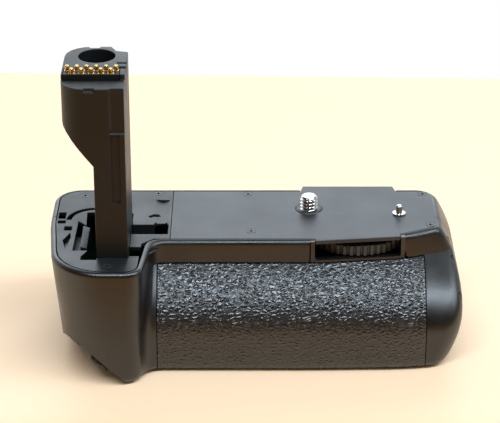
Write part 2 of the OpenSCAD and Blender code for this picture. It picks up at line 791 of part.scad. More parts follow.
// Outline of a spur gear with a tooth on the X axis
function gear_outline(teeth) =
    let (rp = gear_m * teeth / 2, base = rp * cos(20), tip = rp + gear_m, root = rp - 1.3 * gear_m,
        half = 90 / teeth - gear_play / rp * 90 / PI + inv_angle(rp, base),
        start = max(root, base + 0.001), steps = 4)
    [for (k = [0 : teeth - 1]) let (c = 360 / teeth * k) each concat(
        [[root * cos(c - half), root * sin(c - half)]],
        [for (i = [0 : steps]) let (r = start + (tip - start) * i / steps, a = c - half + inv_angle(r, base))
            r * [cos(a), sin(a)]],
        [for (i = [steps : -1 : 0]) let (r = start + (tip - start) * i / steps,
            a = c + half - inv_angle(r, base))
            r * [cos(a), sin(a)]],
        [[root * cos(c + half), root * sin(c + half)]])];

ridge_h = 0.8;
function ridged(r, n, h) = [for (k = [0 : n - 1]) let (c = 360 / n * k, w = 360 / n) each [
    (r - h) * [cos(c - w * 0.42), sin(c - w * 0.42)], r * [cos(c - w * 0.2), sin(c - w * 0.2)],
    r * [cos(c + w * 0.2), sin(c + w * 0.2)], (r - h) * [cos(c + w * 0.42), sin(c + w * 0.42)]]];

module attachment_dial() color("#1d1e20") {
    translate([dial_x, dial_y, 0]) difference() {
        union() {
            translate([0, 0, dial_z0]) linear_extrude(dial_h) polygon(ridged(dial_r, dial_ridges, ridge_h));
            translate([0, 0, dial_z0 + dial_h]) linear_extrude(gear_h + 0.3) rotate(mesh_dir)
                polygon(gear_outline(dial_teeth));
        }
        cylinder(r = stud_r + shaft_fit, h = far);
    }
}

stud_head_h = 0.8;
module dial_axle() color("silver") {
    translate([dial_x, dial_y, 0]) {
        translate([0, 0, dial_z0 - 0.15 - stud_head_h]) cylinder(r = stud_r + 1.6, h = stud_head_h);
        translate([0, 0, dial_z0 - 0.2]) cylinder(r = stud_r, h = seat_z - dial_z0 + 0.2);
    }
}

module tripod_screw() color("silver") {
    tip_h = 0.6;
    translate([screw_x, screw_y, 0]) {
        translate([0, 0, gear_z]) linear_extrude(gear_h) rotate(mesh_dir + 180 + 180 / screw_teeth)
            polygon(gear_outline(screw_teeth));
        translate([0, 0, gear_z + gear_h]) cylinder(r = journal_r, h = deck_z - gear_z - gear_h);
        translate([0, 0, deck_z]) cylinder(r = screw_r, h = screw_h - tip_h);
        translate([0, 0, deck_z + screw_h - tip_h]) cylinder(r1 = screw_r, r2 = screw_r - tip_h, h = tip_h);
    }
}

module locating_pin() color("silver") {
    tip_h = 0.4;
    translate([locator_x, locator_y, 0]) {
        translate([0, 0, seat_z]) cylinder(r = locator_r, h = top_t + locator_h - tip_h);
        translate([0, 0, deck_z + locator_h - tip_h])
            cylinder(r1 = locator_r, r2 = locator_r - tip_h, h = tip_h);
        translate([0, 0, deck_z]) difference() {
            cylinder(r = locator_r + 1.3, h = 0.6);
            translate([0, 0, -1]) cylinder(r = locator_r / 2, h = 3);
        }
    }
}

// Battery chamber
terminal_in = 7;
terminal_y = [for (i = [0 : 3]) chamber_y0 + terminal_in
    + (chamber_y1 - chamber_y0 - 2 * terminal_in) * i / 3];
terminal_z = (chamber_z0 + chamber_z1) / 2;
terminal_w = 5;
board_stand = 2.6;
board_t = 1.6;
board_y = [chamber_y0 + 3, chamber_y1 - 2];
board_z = [chamber_z0 + 2, chamber_z1 - 5];
board_post_at = [for (y = [board_y[0] + 3, board_y[1] - 3], z = [board_z[0] + 3, board_z[1] - 3]) [y, z]];
board_x = chamber_x - chamber_wall - board_stand;

module battery_chamber() color("#33363a") {
    difference() {
        along_x(chamber_x - chamber_wall, mouth_x) polygon(chamber_section(chamber_wall));
        along_x(chamber_x, mouth_x + 1) polygon(chamber_section(0));
        for (y = terminal_y) block_of([chamber_x - 3, y - terminal_w / 2 - fit, terminal_z - 0.4 - fit],
            [chamber_x + 1, y + terminal_w / 2 + fit, terminal_z + 0.4 + fit]);
    }
    for (p = board_post_at) translate([board_x, p[0], p[1]]) rotate([0, 90, 0])
        cylinder(r = 1.8, h = board_stand);
}

// Leaf contacts at the chamber's inner end, with tails that reach the board
module battery_terminals() color("#c9a648") {
    for (y = terminal_y) translate([0, y + terminal_w / 2, terminal_z]) rotate([90, 0, 0])
        linear_extrude(terminal_w)
        polygon([[board_x, -0.4], [chamber_x + 0.05, -0.4], [chamber_x + 0.05, -5], [chamber_x + 2.6, -2.5],
            [chamber_x + 2.6, -1.6], [chamber_x + 0.7, -3.6], [chamber_x + 0.7, 0.4], [board_x, 0.4]]);
}

ribbon_y = [board_y[0] + 1, board_y[0] + 9];
module circuit_board() color("#1f5a34") {
    difference() {
        block_of([board_x - board_t, board_y[0], board_z[0]], [board_x, board_y[1], board_z[1]]);
        for (p = board_post_at) translate([board_x - board_t - 1, p[0], p[1]]) rotate([0, 90, 0])
            cylinder(r = 1, h = board_t + 2);
    }
    block_of([board_x - board_t - 2.4, ribbon_y[0] - 1, board_z[1] - 9],
        [board_x - board_t, ribbon_y[1] + 1, board_z[1] - 3]);
    block_of([board_x - board_t - 1.5, board_y[0] + 14, board_z[0] + 6],
        [board_x - board_t, board_y[0] + 24, board_z[0] + 16]);
    for (i = [0 : 3]) block_of([board_x - board_t - 1, board_y[1] - 8, board_z[0] + 6 + 3.5 * i],
        [board_x - board_t, board_y[1] - 5.5, board_z[0] + 7.4 + 3.5 * i]);
}

// Flat cable from the board along the body and up the tower
ribbon_t = 0.3;
ribbon_x = tower_x1 - 4.2;
ribbon_z = board_z[1] - 6;
ribbon_bend = 3;
module ribbon_cable() color("#a5672f") {
    x_end = board_x - board_t - 2.4;
    translate([0, ribbon_y[1], 0]) rotate([90, 0, 0]) linear_extrude(ribbon_y[1] - ribbon_y[0])
        polygon(concat([[x_end, ribbon_z]],
            arc([ribbon_x + ribbon_bend, ribbon_z + ribbon_bend], ribbon_bend, 270, 180, 6),
            [[ribbon_x, holder_z0], [ribbon_x + ribbon_t, holder_z0]],
            arc([ribbon_x + ribbon_bend, ribbon_z + ribbon_bend], ribbon_bend - ribbon_t, 180, 270, 6),
            [[x_end, ribbon_z + ribbon_t]]));
}

// Battery door at the right end, with its hinge pin and latch
latch_y = [door_y[0] + 12.5, door_y[0] + 19.5];
latch_z = [swell_z - 6, swell_z + 6];
latch_travel = 3;
latch_rib = 0.35;
latch_x = right_x - 0.9;

module door_frame() {
    intersection() {
        difference() {
            form(0);
            form(wall);
        }
        along_x(door_x, far) polygon(chamber_section(door_t - door_gap));
        block_of([0, -far, 0], [far, hinge_y - run, far]);
    }
}

module battery_door() color("#2a2c2f") {
    difference() {
        union() {
            difference() {
                door_frame();
                hinge_round(knuckle_r + run, [hinge_z[0] - run, hinge_z[1] + run]);
            }
            hull() {
                hinge_round(knuckle_r, knuckle_z);
                translate([hinge_x + 0.6, hinge_y - 3.4, knuckle_z[0]])
                    cylinder(r = 0.9, h = knuckle_z[1] - knuckle_z[0]);
            }
        }
        hinge_round(hinge_r + shaft_fit, [hinge_z[0] - run, hinge_z[1] + run]);
        block_of([0, latch_y[0] - fit - run, latch_z[0] - run],
            [far, latch_y[1] + latch_travel + run, latch_z[1] + run]);
    }
}

module door_hinge_pin() color("silver") {
    hinge_round(hinge_r, [hinge_z[0] + 0.2, hinge_z[1] - 0.2]);
}

module door_latch() color("#191a1b") {
    inner_x = right_x - wall - run - 0.85;
    difference() {
        block_of([inner_x - 1, latch_y[0], latch_z[0]], [latch_x, latch_y[1], latch_z[1]]);
        for (i = [0 : 4]) translate([latch_x, latch_y[0] + latch_rib * (4 + 3 * i), latch_z[0] - 1])
            cylinder(r = latch_rib, h = latch_z[1] - latch_z[0] + 2, $fn = 24);
    }
    // Guide plate behind the door's wall
    block_of([inner_x - 1, latch_y[0] - 1.6, latch_z[0] - 1.6],
        [inner_x, latch_y[1] + 1.2 + latch_travel, latch_z[1] + 1.6]);
}

// Slope panel with the shutter button and the command dial
slope_t = 2;
shutter_x = left_x + 18.7;
shutter_y = front_y + 6.45;
wheel_x = left_x + 15;
wheel_y = front_y + 26.25;
wheel_in = wheel_r - 2.5;
axle_r = 1;
wheel_ridges = 28;
ear_t = 1.4;

module control_panel() color("#2a2b2d") {
    difference() {
        intersection() {
            cavity(fit);
            below_slope(slope_t);
            block_of([-far, -far, 0], [far, far, far]);
        }
        below_slope(0);
        on_corner(shutter_x, shutter_y) cylinder(r = shutter_r + run, h = far, center = true);
        on_slope(wheel_x, wheel_y) cube([2 * sqrt(wheel_r * wheel_r - pow(wheel_in - slope_t, 2))
            + 2 * run, wheel_w + 2 * run, far], center = true);
    }
    // Ears that carry the command dial's axle
    for (s = [-1, 1]) on_slope(wheel_x, wheel_y + s * (wheel_w / 2 + run + ear_t / 2)) difference() {
        translate([-3, -ear_t / 2, -wheel_in - 3]) cube([6, ear_t, wheel_in + 3 - slope_t + 0.5]);
        translate([0, 0, -wheel_in]) rotate([90, 0, 0]) cylinder(r = axle_r, h = far, center = true);
    }
}

flange_t = 0.8;
module shutter_button() color("#1b1b1c") {
    on_corner(shutter_x, shutter_y) {
        translate([0, 0, -slope_t - run - flange_t]) cylinder(r = shutter_r + 1, h = flange_t);
        translate([0, 0, -slope_t - run - 0.1]) cylinder(r = shutter_r, h = slope_t + run + 0.9);
        translate([0, 0, 0.8]) cylinder(r1 = shutter_r, r2 = shutter_r - 0.8, h = 0.7);
        translate([0, 0, -slope_t - run - flange_t - 1.4]) cylinder(r = 1.5, h = 1.6);
    }
}

// Switch under the shutter button, on a bracket that stands on the slope panel
module shutter_switch() color("#3d4a5a") {
    drop = slope_t + run + flange_t + 1.4 + shutter_travel + 0.3;
    leg_y = shutter_r + 1.6;
    leg_t = 1.5;
    on_corner(shutter_x, shutter_y) {
        translate([-3, -2, -drop - 2]) cube([6, leg_y + leg_t + 2, 2]);
        translate([-3, leg_y, -drop - 0.1]) cube([6, leg_t, drop - slope_t + 0.1]);
    }
}

module command_dial() color("#1b1b1c") {
    on_slope(wheel_x, wheel_y) translate([0, wheel_w / 2, -wheel_in]) rotate([90, 0, 0]) difference() {
        linear_extrude(wheel_w) polygon(ridged(wheel_r, wheel_ridges, 0.6));
        translate([0, 0, -1]) cylinder(r = axle_r + shaft_fit, h = wheel_w + 2);
    }
}

module command_axle() color("silver") {
    on_slope(wheel_x, wheel_y) translate([0, 0, -wheel_in]) rotate([90, 0, 0])
        cylinder(r = axle_r, h = wheel_w + 2 * run + 2 * ear_t, center = true);
}

// Rear buttons, power switch and the board behind them
inner_y = back_y - wall;
button_board_y = inner_y - 4.2;
button_board_t = 1.2;

module rear_button(x) {
    translate([x, 0, button_z]) rotate([-90, 0, 0]) {
        translate([0, 0, inner_y - run - flange_t]) cylinder(r = button_r + 1, h = flange_t);
        translate([0, 0, inner_y - run - 0.1]) cylinder(r = button_r, h = wall + run + 0.8);
        translate([0, 0, back_y + 0.7]) cylinder(r1 = button_r, r2 = button_r - 0.5, h = 0.5);
    }
}

module exposure_button() color("#242526") {
    rear_button(button_x[0]);
}

module focus_button() color("#242526") {
    rear_button(button_x[1]);
}

module button_board() color("#1f5a34") {
    post_x = [button_x[0] - 4.5 - button_r, button_x[1] + 4.5 + button_r];
    difference() {
        block_of([post_x[0] - 1.5, button_board_y - button_board_t, button_z - 6],
            [post_x[1] + 1.5, button_board_y, button_z + 5]);
        for (x = post_x) translate([x, 0, button_z]) rotate([-90, 0, 0]) cylinder(r = 0.6, h = far);
    }
    for (x = post_x, z = [-3.5, 3]) translate([x, button_board_y - 0.1, button_z + z]) rotate([-90, 0, 0])
        cylinder(r = 1.2, h = inner_y - run - button_board_y + 0.1);
    for (x = button_x) translate([x, button_board_y - 0.1, button_z]) rotate([-90, 0, 0])
        cylinder(r = 1.6, h = inner_y - run - flange_t - button_travel - 0.25 - button_board_y + 0.1);
}

module power_switch() color("#1c1d1e") {
    translate([switch_x, 0, switch_z]) rotate([-90, 0, 0]) {
        translate([0, 0, back_y + 0.15]) cylinder(r = switch_r, h = 1.2);
        translate([0, 0, back_y + 1.3]) linear_extrude(0.6) round_plate(2.4, 2 * switch_r - 1, 1);
        translate([0, 0, inner_y - 1]) cylinder(r = stud_r / 2, h = wall + 1.5);
        translate([0, 0, inner_y - 1.2]) cylinder(r = stud_r / 2 + 1.2, h = 0.9);
    }
}

// Threaded tripod socket in the base
socket_x = left_x + 59;
socket_y = 4;
bush_r = 6;
module tripod_socket() color("silver") {
    translate([socket_x, socket_y, 0]) difference() {
        union() {
            cylinder(r = bush_r, h = socket_h + 2);
            translate([0, 0, base_t]) cylinder(r = bush_r + 2, h = 1.4);
        }
        translate([0, 0, -1]) cylinder(r = socket_r, h = socket_h + 1);
    }
}

module plate_screws() color("#3a3a3c") {
    for (p = plate_screw_at) translate([p[0], p[1], deck_z]) small_screw();
}

module deck_screws() color("#3a3a3c") {
    for (p = deck_screw_at) translate([p[0], p[1], deck_z]) small_screw();
}

module base_screws() color("#3a3a3c") {
    for (p = base_screw_at) translate([p[0], p[1], 0]) mirror([0, 0, 1]) small_screw();
}

module tower_screws() color("#3a3a3c") {
    for (p = tower_screw_at) translate([p[0], tower_y1, p[1]]) rotate([-90, 0, 0]) small_screw();
}

front_shell();
rear_shell();
base_cover();
top_plate();
tower_deck();
grip_panel();
thumb_pad();
tower_front();
tower_back();
contact_holder();
contact_barrels();
contact_pins();
cover_clip();
attachment_dial();
dial_axle();
tripod_screw();
locating_pin();
battery_chamber();
battery_terminals();
battery_door();
door_hinge_pin();
door_latch();
circuit_board();
ribbon_cable();
control_panel();
shutter_button();
shutter_switch();
command_dial();
command_axle();
exposure_button();
focus_button();
button_board();
power_switch();
tripod_socket();
plate_screws();
deck_screws();
base_screws();
tower_screws();
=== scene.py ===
"""Looks of the camera battery grip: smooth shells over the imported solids, finishes, light and camera."""

import json
import math

import bmesh
import bpy
import numpy as np
from mathutils import Matrix, Vector
from mathutils.bvhtree import BVHTree


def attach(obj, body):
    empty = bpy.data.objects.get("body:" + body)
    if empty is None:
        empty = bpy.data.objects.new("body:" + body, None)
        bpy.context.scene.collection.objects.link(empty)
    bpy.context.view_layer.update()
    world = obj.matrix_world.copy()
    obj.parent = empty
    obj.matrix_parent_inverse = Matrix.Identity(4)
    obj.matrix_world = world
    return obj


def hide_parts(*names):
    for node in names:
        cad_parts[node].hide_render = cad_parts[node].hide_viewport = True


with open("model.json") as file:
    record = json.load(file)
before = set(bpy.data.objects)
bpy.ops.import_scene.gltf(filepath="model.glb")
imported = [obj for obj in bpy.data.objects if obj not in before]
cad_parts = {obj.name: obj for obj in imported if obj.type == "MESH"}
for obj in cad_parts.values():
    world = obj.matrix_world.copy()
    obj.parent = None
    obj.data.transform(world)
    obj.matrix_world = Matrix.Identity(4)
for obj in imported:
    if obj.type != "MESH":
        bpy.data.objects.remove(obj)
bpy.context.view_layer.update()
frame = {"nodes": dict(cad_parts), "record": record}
MM = 0.001

# Sizes of the body, in millimetres, as the part's source has them
DECK_Z = 44.0
WALL, RIM_R, EDGE_R = 2.2, 1.8, 3.5
LEFT_X, RIGHT_X, FRONT_Y, BACK_Y = -73.8, 73.8, -36.25, 34.0
BAND_Y, BELLY_Y, BAND_Z, BELLY_Z = -10.5, -26.5, 35.5, 14.0
BLOCK_X, SPLIT_Y, SEAT_Z = LEFT_X + 35, 10.0, 42.4
RIM_Z = DECK_Z - RIM_R
SWELL, SWELL_Z, LEAN = 7.5, 21.0, 0.1
TAPER, TAPER_Y = math.radians(5.5), SPLIT_Y - 5
END_TURN, BACK_TURN, TAIL_TURN, LEFT_TURN, SIDE_TURN, LEAST_TURN = 8.0, 10.0, 7.0, 20.0, 6.5, 0.8
VALLEY, BEND_X = 5.5, LEFT_X + 95
PANEL_X, PANEL_Z, PANEL_T = (LEFT_X + 39, RIGHT_X - 13.3), 0.6, 1.0
DIAL_X = LEFT_X + 110.4
WINDOW_X, WINDOW_Z = (DIAL_X - 15.5, DIAL_X + 15.2), 36.65
TAB_X = (DIAL_X - 19.9, DIAL_X + 15.7)
SCREW_AT = Vector((19.5807, 16.8577, 0))
HINGE = Vector((RIGHT_X - 3.9, 30.6, 0))
SLOPE_A, SLOPE_AT = math.radians(22.3), Vector((LEFT_X + 18.5, 0, 2.9))
CORNER_A, CORNER_TURN = math.radians(49.6), math.radians(34.2)
CORNER_AT = Vector((LEFT_X + 25, FRONT_Y, 4.3))
SHUTTER_AT, SHUTTER_R = (LEFT_X + 18.7, FRONT_Y + 6.45), 4.2


class Value:
    """A shader socket that takes part in sums and products."""

    def __init__(self, finish, socket):
        self.finish = finish
        self.socket = socket

    def __add__(self, other):
        return self.finish.math("ADD", self, other)

    def __sub__(self, other):
        return self.finish.math("SUBTRACT", self, other)

    def __rsub__(self, other):
        return self.finish.math("SUBTRACT", other, self)

    def __mul__(self, other):
        return self.finish.math("MULTIPLY", self, other)

    def __pow__(self, other):
        return self.finish.math("POWER", self, other)

    __radd__ = __add__
    __rmul__ = __mul__


class Finish:
    """A procedural material of one record slot. Sizes are in millimetres on the object."""

    def __init__(self, name, slot, **constants):
        self.slot = slot
        self.material = bpy.data.materials.new(name)
        self.material.use_nodes = True
        self.tree = self.material.node_tree
        self.tree.nodes.clear()
        output = self.tree.nodes.new("ShaderNodeOutputMaterial")
        self.shader = self.tree.nodes.new("ShaderNodeBsdfPrincipled")
        self.tree.links.new(self.shader.outputs["BSDF"], output.inputs["Surface"])
        self.spot = self.node("ShaderNodeTexCoord", output="Object")
        for socket, value in constants.items():
            self.set(socket.replace("_", " "), value)

    def fill(self, socket, value):
        if isinstance(value, Value):
            self.tree.links.new(value.socket, socket)
        else:
            socket.default_value = value

    def set(self, socket, value):
        self.fill(self.shader.inputs[socket], value)

    def node(self, kind, settings=None, sockets=None, output=0):
        made = self.tree.nodes.new(kind)
        for name, value in (settings or {}).items():
            setattr(made, name, value)
        for key, value in (sockets or {}).items():
            self.fill(made.inputs[key], value)
        return Value(self, made.outputs[output])

    def math(self, operation, a, b, clamp=False):
        return self.node("ShaderNodeMath", {"operation": operation, "use_clamp": clamp}, {0: a, 1: b})

    def noise(self, size, detail=2.0, rough=0.5, spot=None):
        sockets = {"Vector": spot or self.spot, "Scale": 1000 / size, "Detail": detail, "Roughness": rough}
        return self.node("ShaderNodeTexNoise", None, sockets, "Fac")

    def cells(self, size, feature, spot=None, output="Distance"):
        sockets = {"Vector": spot or self.spot, "Scale": 1000 / size}
        return self.node("ShaderNodeTexVoronoi", {"feature": feature}, sockets, output)

    def stretch(self, factors):
        return self.node("ShaderNodeVectorMath", {"operation": "MULTIPLY"}, {0: self.spot, 1: factors})

    def wander(self, size, amount, factors=(1, 1, 1)):
        """The object's coordinates, pushed about by noise and stretched."""
        push = self.node("ShaderNodeTexNoise", None, {"Vector": self.spot, "Scale": 1000 / size}, "Color")
        scaled = self.node("ShaderNodeVectorMath", {"operation": "SCALE"}, {0: push, "Scale": amount * MM})
        moved = self.node("ShaderNodeVectorMath", {"operation": "ADD"}, {0: self.spot, 1: scaled})
        return self.node("ShaderNodeVectorMath", {"operation": "MULTIPLY"}, {0: moved, 1: factors})

    def step(self, value, low, high, to_low=0.0, to_high=1.0):
        sockets = {"Value": value, "From Min": low, "From Max": high, "To Min": to_low, "To Max": to_high}
        return self.node("ShaderNodeMapRange", {"interpolation_type": "SMOOTHSTEP"}, sockets)

    def mix(self, factor, a, b):
        sockets = {0: factor, 6: a, 7: b}
        return self.node("ShaderNodeMix", {"data_type": "RGBA"}, sockets, 2)

    def bump(self, height, depth, strength=1.0):
        sockets = {"Height": height, "Distance": depth * MM, "Strength": strength}
        self.set("Normal", self.node("ShaderNodeBump", None, sockets))

    def tone(self, dark, light, factor):
        self.set("Base Color", self.mix(factor, (*dark, 1), (*light, 1)))


def moulded(name, slot, dark, light, rough, grain, depth, shine=0.5):
    """Black moulding with an eroded grain, faint handling marks and a little dust."""
    finish = Finish(name, slot, Specular_IOR_Level=shine)
    smudge = finish.noise(17, 3, 0.6)
    fine = finish.noise(grain, 2, 0.6)
    dust = finish.step(finish.noise(0.9, 1), 0.70, 0.78)
    finish.tone(dark, light, smudge * 0.6 + fine * 0.3 + dust * 0.5)
    finish.set("Roughness", finish.step(smudge * 0.7 + fine * 0.3, 0.3, 0.7, rough - 0.07, rough + 0.07))
    finish.bump(fine, depth)
    return finish


def leather_rubber():
    """Rubber skin with a pebbled leather grain: drawn-out domed cells, creases and fine wrinkles, with
    painted shade in the creases.
    """
    finish = Finish("leather grain rubber", "grip_rubber", Specular_IOR_Level=0.85)
    bent = finish.wander(2.4, 1.3, (0.66, 1.0, 1.0))
    edge = finish.cells(1.35, "DISTANCE_TO_EDGE", bent)
    dome = finish.step(edge, 0.0, 0.40)
    height = dome + finish.noise(0.6, 1) * 0.14
    crease = finish.step(edge, 0.02, 0.16)
    # Base colour: painted shade, dark in the creases between the domes and lighter on their tops.
    finish.tone((0.003, 0.003, 0.0035), (0.009, 0.0095, 0.0105), crease * 0.75 + finish.noise(11) * 0.4)
    finish.set("Roughness", finish.step(crease + finish.noise(9) * 0.3, 0.0, 1.2, 0.42, 0.23))
    finish.bump(height, 0.18, 0.85)
    return finish


def plate_paint():
    """Satin black paint on cast metal, with an orange peel and rubbing marks."""
    finish = Finish("satin plate paint", "plate_metal", Specular_IOR_Level=0.5)
    peel = finish.noise(0.55, 2, 0.5)
    cloud = finish.noise(23, 4, 0.6)
    rub = finish.step(finish.noise(1.6, 2, 0.5, finish.stretch((0.08, 1.6, 1.0))), 0.62, 0.74)
    finish.tone((0.016, 0.017, 0.019), (0.030, 0.032, 0.035), cloud * 0.8 + peel * 0.2 + rub * 0.25)
    finish.set("Roughness", finish.step(cloud + rub * 0.25, 0.2, 0.9, 0.44, 0.34))
    finish.bump(peel, 0.012)
    return finish


def bright_metal(name, slot, dark, light, rough):
    """Plated metal with turning marks and a faint haze."""
    finish = Finish(name, slot, Metallic=1.0)
    turning = finish.noise(0.5, 2, 0.6, finish.stretch((0.2, 0.2, 3.0)))
    haze = finish.noise(3.5, 3, 0.6)
    finish.tone(dark, light, haze * 0.6 + turning * 0.4)
    finish.set("Roughness", finish.step(haze * 0.5 + turning * 0.5, 0.3, 0.7, rough - 0.06, rough + 0.1))
    finish.bump(turning, 0.004)
    return finish


def solder_resist():
    """Green board with raised tracks and pads."""
    finish = Finish("solder resist", "board_green", Specular_IOR_Level=0.5)
    track = finish.cells(2.4, "DISTANCE_TO_EDGE")
    line = finish.step(track, 0.05, 0.09)
    finish.tone((0.010, 0.075, 0.030), (0.006, 0.040, 0.018), line * 0.8 + finish.noise(6) * 0.2)
    finish.set("Roughness", finish.step(finish.noise(4), 0.3, 0.7, 0.28, 0.42))
    finish.bump(1 - line, 0.03)
    return finish


def amber_film():
    """Flat cable: amber film over copper tracks."""
    finish = Finish("amber film", "ribbon_amber", Specular_IOR_Level=0.5)
    bands = {"Vector": finish.spot, "Scale": 320.0}
    wave = finish.node("ShaderNodeTexWave", {"bands_direction": "Y"}, bands, "Fac")
    lines = finish.step(wave, 0.35, 0.6)
    finish.tone((0.13, 0.050, 0.012), (0.42, 0.20, 0.060), lines * 0.8 + finish.noise(5) * 0.2)
    finish.set("Roughness", finish.step(finish.noise(3), 0.3, 0.7, 0.25, 0.4))
    finish.bump(lines, 0.02)
    return finish


SHELL = moulded("shell plastic", "shell_plastic", (0.002, 0.002, 0.002), (0.005, 0.005, 0.005),
    rough=0.33, grain=0.34, depth=0.016, shine=0.75)
DECK = moulded("deck plastic", "deck_plastic", (0.007, 0.0075, 0.008), (0.015, 0.016, 0.017),
    rough=0.42, grain=0.40, depth=0.018)
TOWER = moulded("tower plastic", "tower_plastic", (0.005, 0.005, 0.005), (0.010, 0.010, 0.010),
    rough=0.46, grain=0.30, depth=0.02, shine=0.4)
CONTROL = moulded("control plastic", "control_plastic", (0.006, 0.006, 0.0065), (0.013, 0.013, 0.014),
    rough=0.36, grain=0.28, depth=0.012)
# A lighter copy of the control plastic for the dial: painted light, so that its ridges in the shade of the
# plate's lip read as lit.
DIAL_PAINTED_LIGHT = moulded("dial plastic painted lighter", "control_plastic", (0.026, 0.026, 0.027), (0.050, 0.050, 0.052),
    rough=0.34, grain=0.28, depth=0.010)
CHAMBER = moulded("chamber plastic", "chamber_plastic", (0.022, 0.024, 0.026), (0.038, 0.040, 0.043),
    rough=0.45, grain=0.5, depth=0.02)
SCREW = moulded("blackened steel", "screw_black", (0.014, 0.014, 0.015), (0.035, 0.035, 0.036),
    rough=0.34, grain=0.25, depth=0.008)
LEATHER = leather_rubber()
PLATE = plate_paint()
STEEL = bright_metal("plated steel", "bright_steel", (0.40, 0.395, 0.385), (0.66, 0.65, 0.635), 0.13)
GOLD = bright_metal("contact gold", "contact_gold", (0.66, 0.42, 0.13), (0.92, 0.66, 0.27), 0.22)
BOARD = solder_resist()
RIBBON = amber_film()

BODY_OF = {node: body for body, nodes in frame["record"]["behaviour"]["bodies"].items() for node in nodes}


def add_object(name, mesh):
    made = bpy.data.objects.new(name, mesh)
    bpy.context.scene.collection.objects.link(made)
    return made


def soften(mesh, angle):
    """Smooth shading, with edges sharper than the angle kept sharp."""
    mesh.polygons.foreach_set("use_smooth", [True] * len(mesh.polygons))
    mesh.set_sharp_from_angle(angle=math.radians(angle))
    mesh.update()


def settle(name, mesh, finish, body, nodes=(), angle=35):
    """Puts a finished mesh on its body, in place of the nodes that it stands for."""
    mesh.materials.clear()
    mesh.materials.append(finish.material)
    soften(mesh, angle)
    made = add_object(name, mesh)
    even = made.modifiers.new("even", "WEIGHTED_NORMAL")
    even.keep_sharp = True
    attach(made, body)
    if nodes:
        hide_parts(*nodes)
    return made


def applied(made):
    """The object's mesh with its modifiers worked in; the object itself is removed."""
    bpy.context.view_layer.update()
    graph = bpy.context.evaluated_depsgraph_get()
    mesh = bpy.data.meshes.new_from_object(made.evaluated_get(graph), depsgraph=graph)
    bpy.data.objects.remove(made)
    return mesh


def mesh_of(name, points, faces):
    """A mesh from points in millimetres."""
    mesh = bpy.data.meshes.new(name)
    mesh.from_pydata([Vector(p) * MM for p in points], [], faces)
    mesh.validate()
    return mesh


def dressed(node, finish, bevel, angle=38, smooth=32):
    """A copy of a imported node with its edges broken."""
    form = bmesh.new()
    form.from_mesh(frame["nodes"][node].data)
    bmesh.ops.remove_doubles(form, verts=form.verts[:], dist=0.002 * MM)
    turn = math.radians(angle)
    sharp = [e for e in form.edges if len(e.link_faces) == 2 and e.calc_face_angle() > turn]
    if bevel and sharp:
        bmesh.ops.bevel(form, geom=sharp, offset=bevel * MM, offset_type="OFFSET", segments=2, profile=0.5,
            affect="EDGES", clamp_overlap=False)
    mesh = bpy.data.meshes.new(node)
    form.to_mesh(mesh)
    form.free()
    return settle(node + "_piece", mesh, finish, BODY_OF[node], [node], smooth)


def arc(centre, radius, start, end, count):
    """Points on an arc, the first one left out."""
    turns = np.radians(np.linspace(start, end, count + 1))[1:]
    return [(centre[0] + radius * math.cos(a), centre[1] + radius * math.sin(a)) for a in turns]


def rise(z):
    """Share of the way from the belly to the band."""
    return min(max((z - BELLY_Z) / (BAND_Z - BELLY_Z), 0), 1) ** 2


def side_in(y):
    """How far the left side turns in towards the front, with a soft start."""
    soft = 5.0
    ahead = TAPER_Y - y
    eased = max(ahead, 0) if abs(ahead) > soft else (ahead + soft) ** 2 / (4 * soft)
    return eased * math.tan(TAPER)


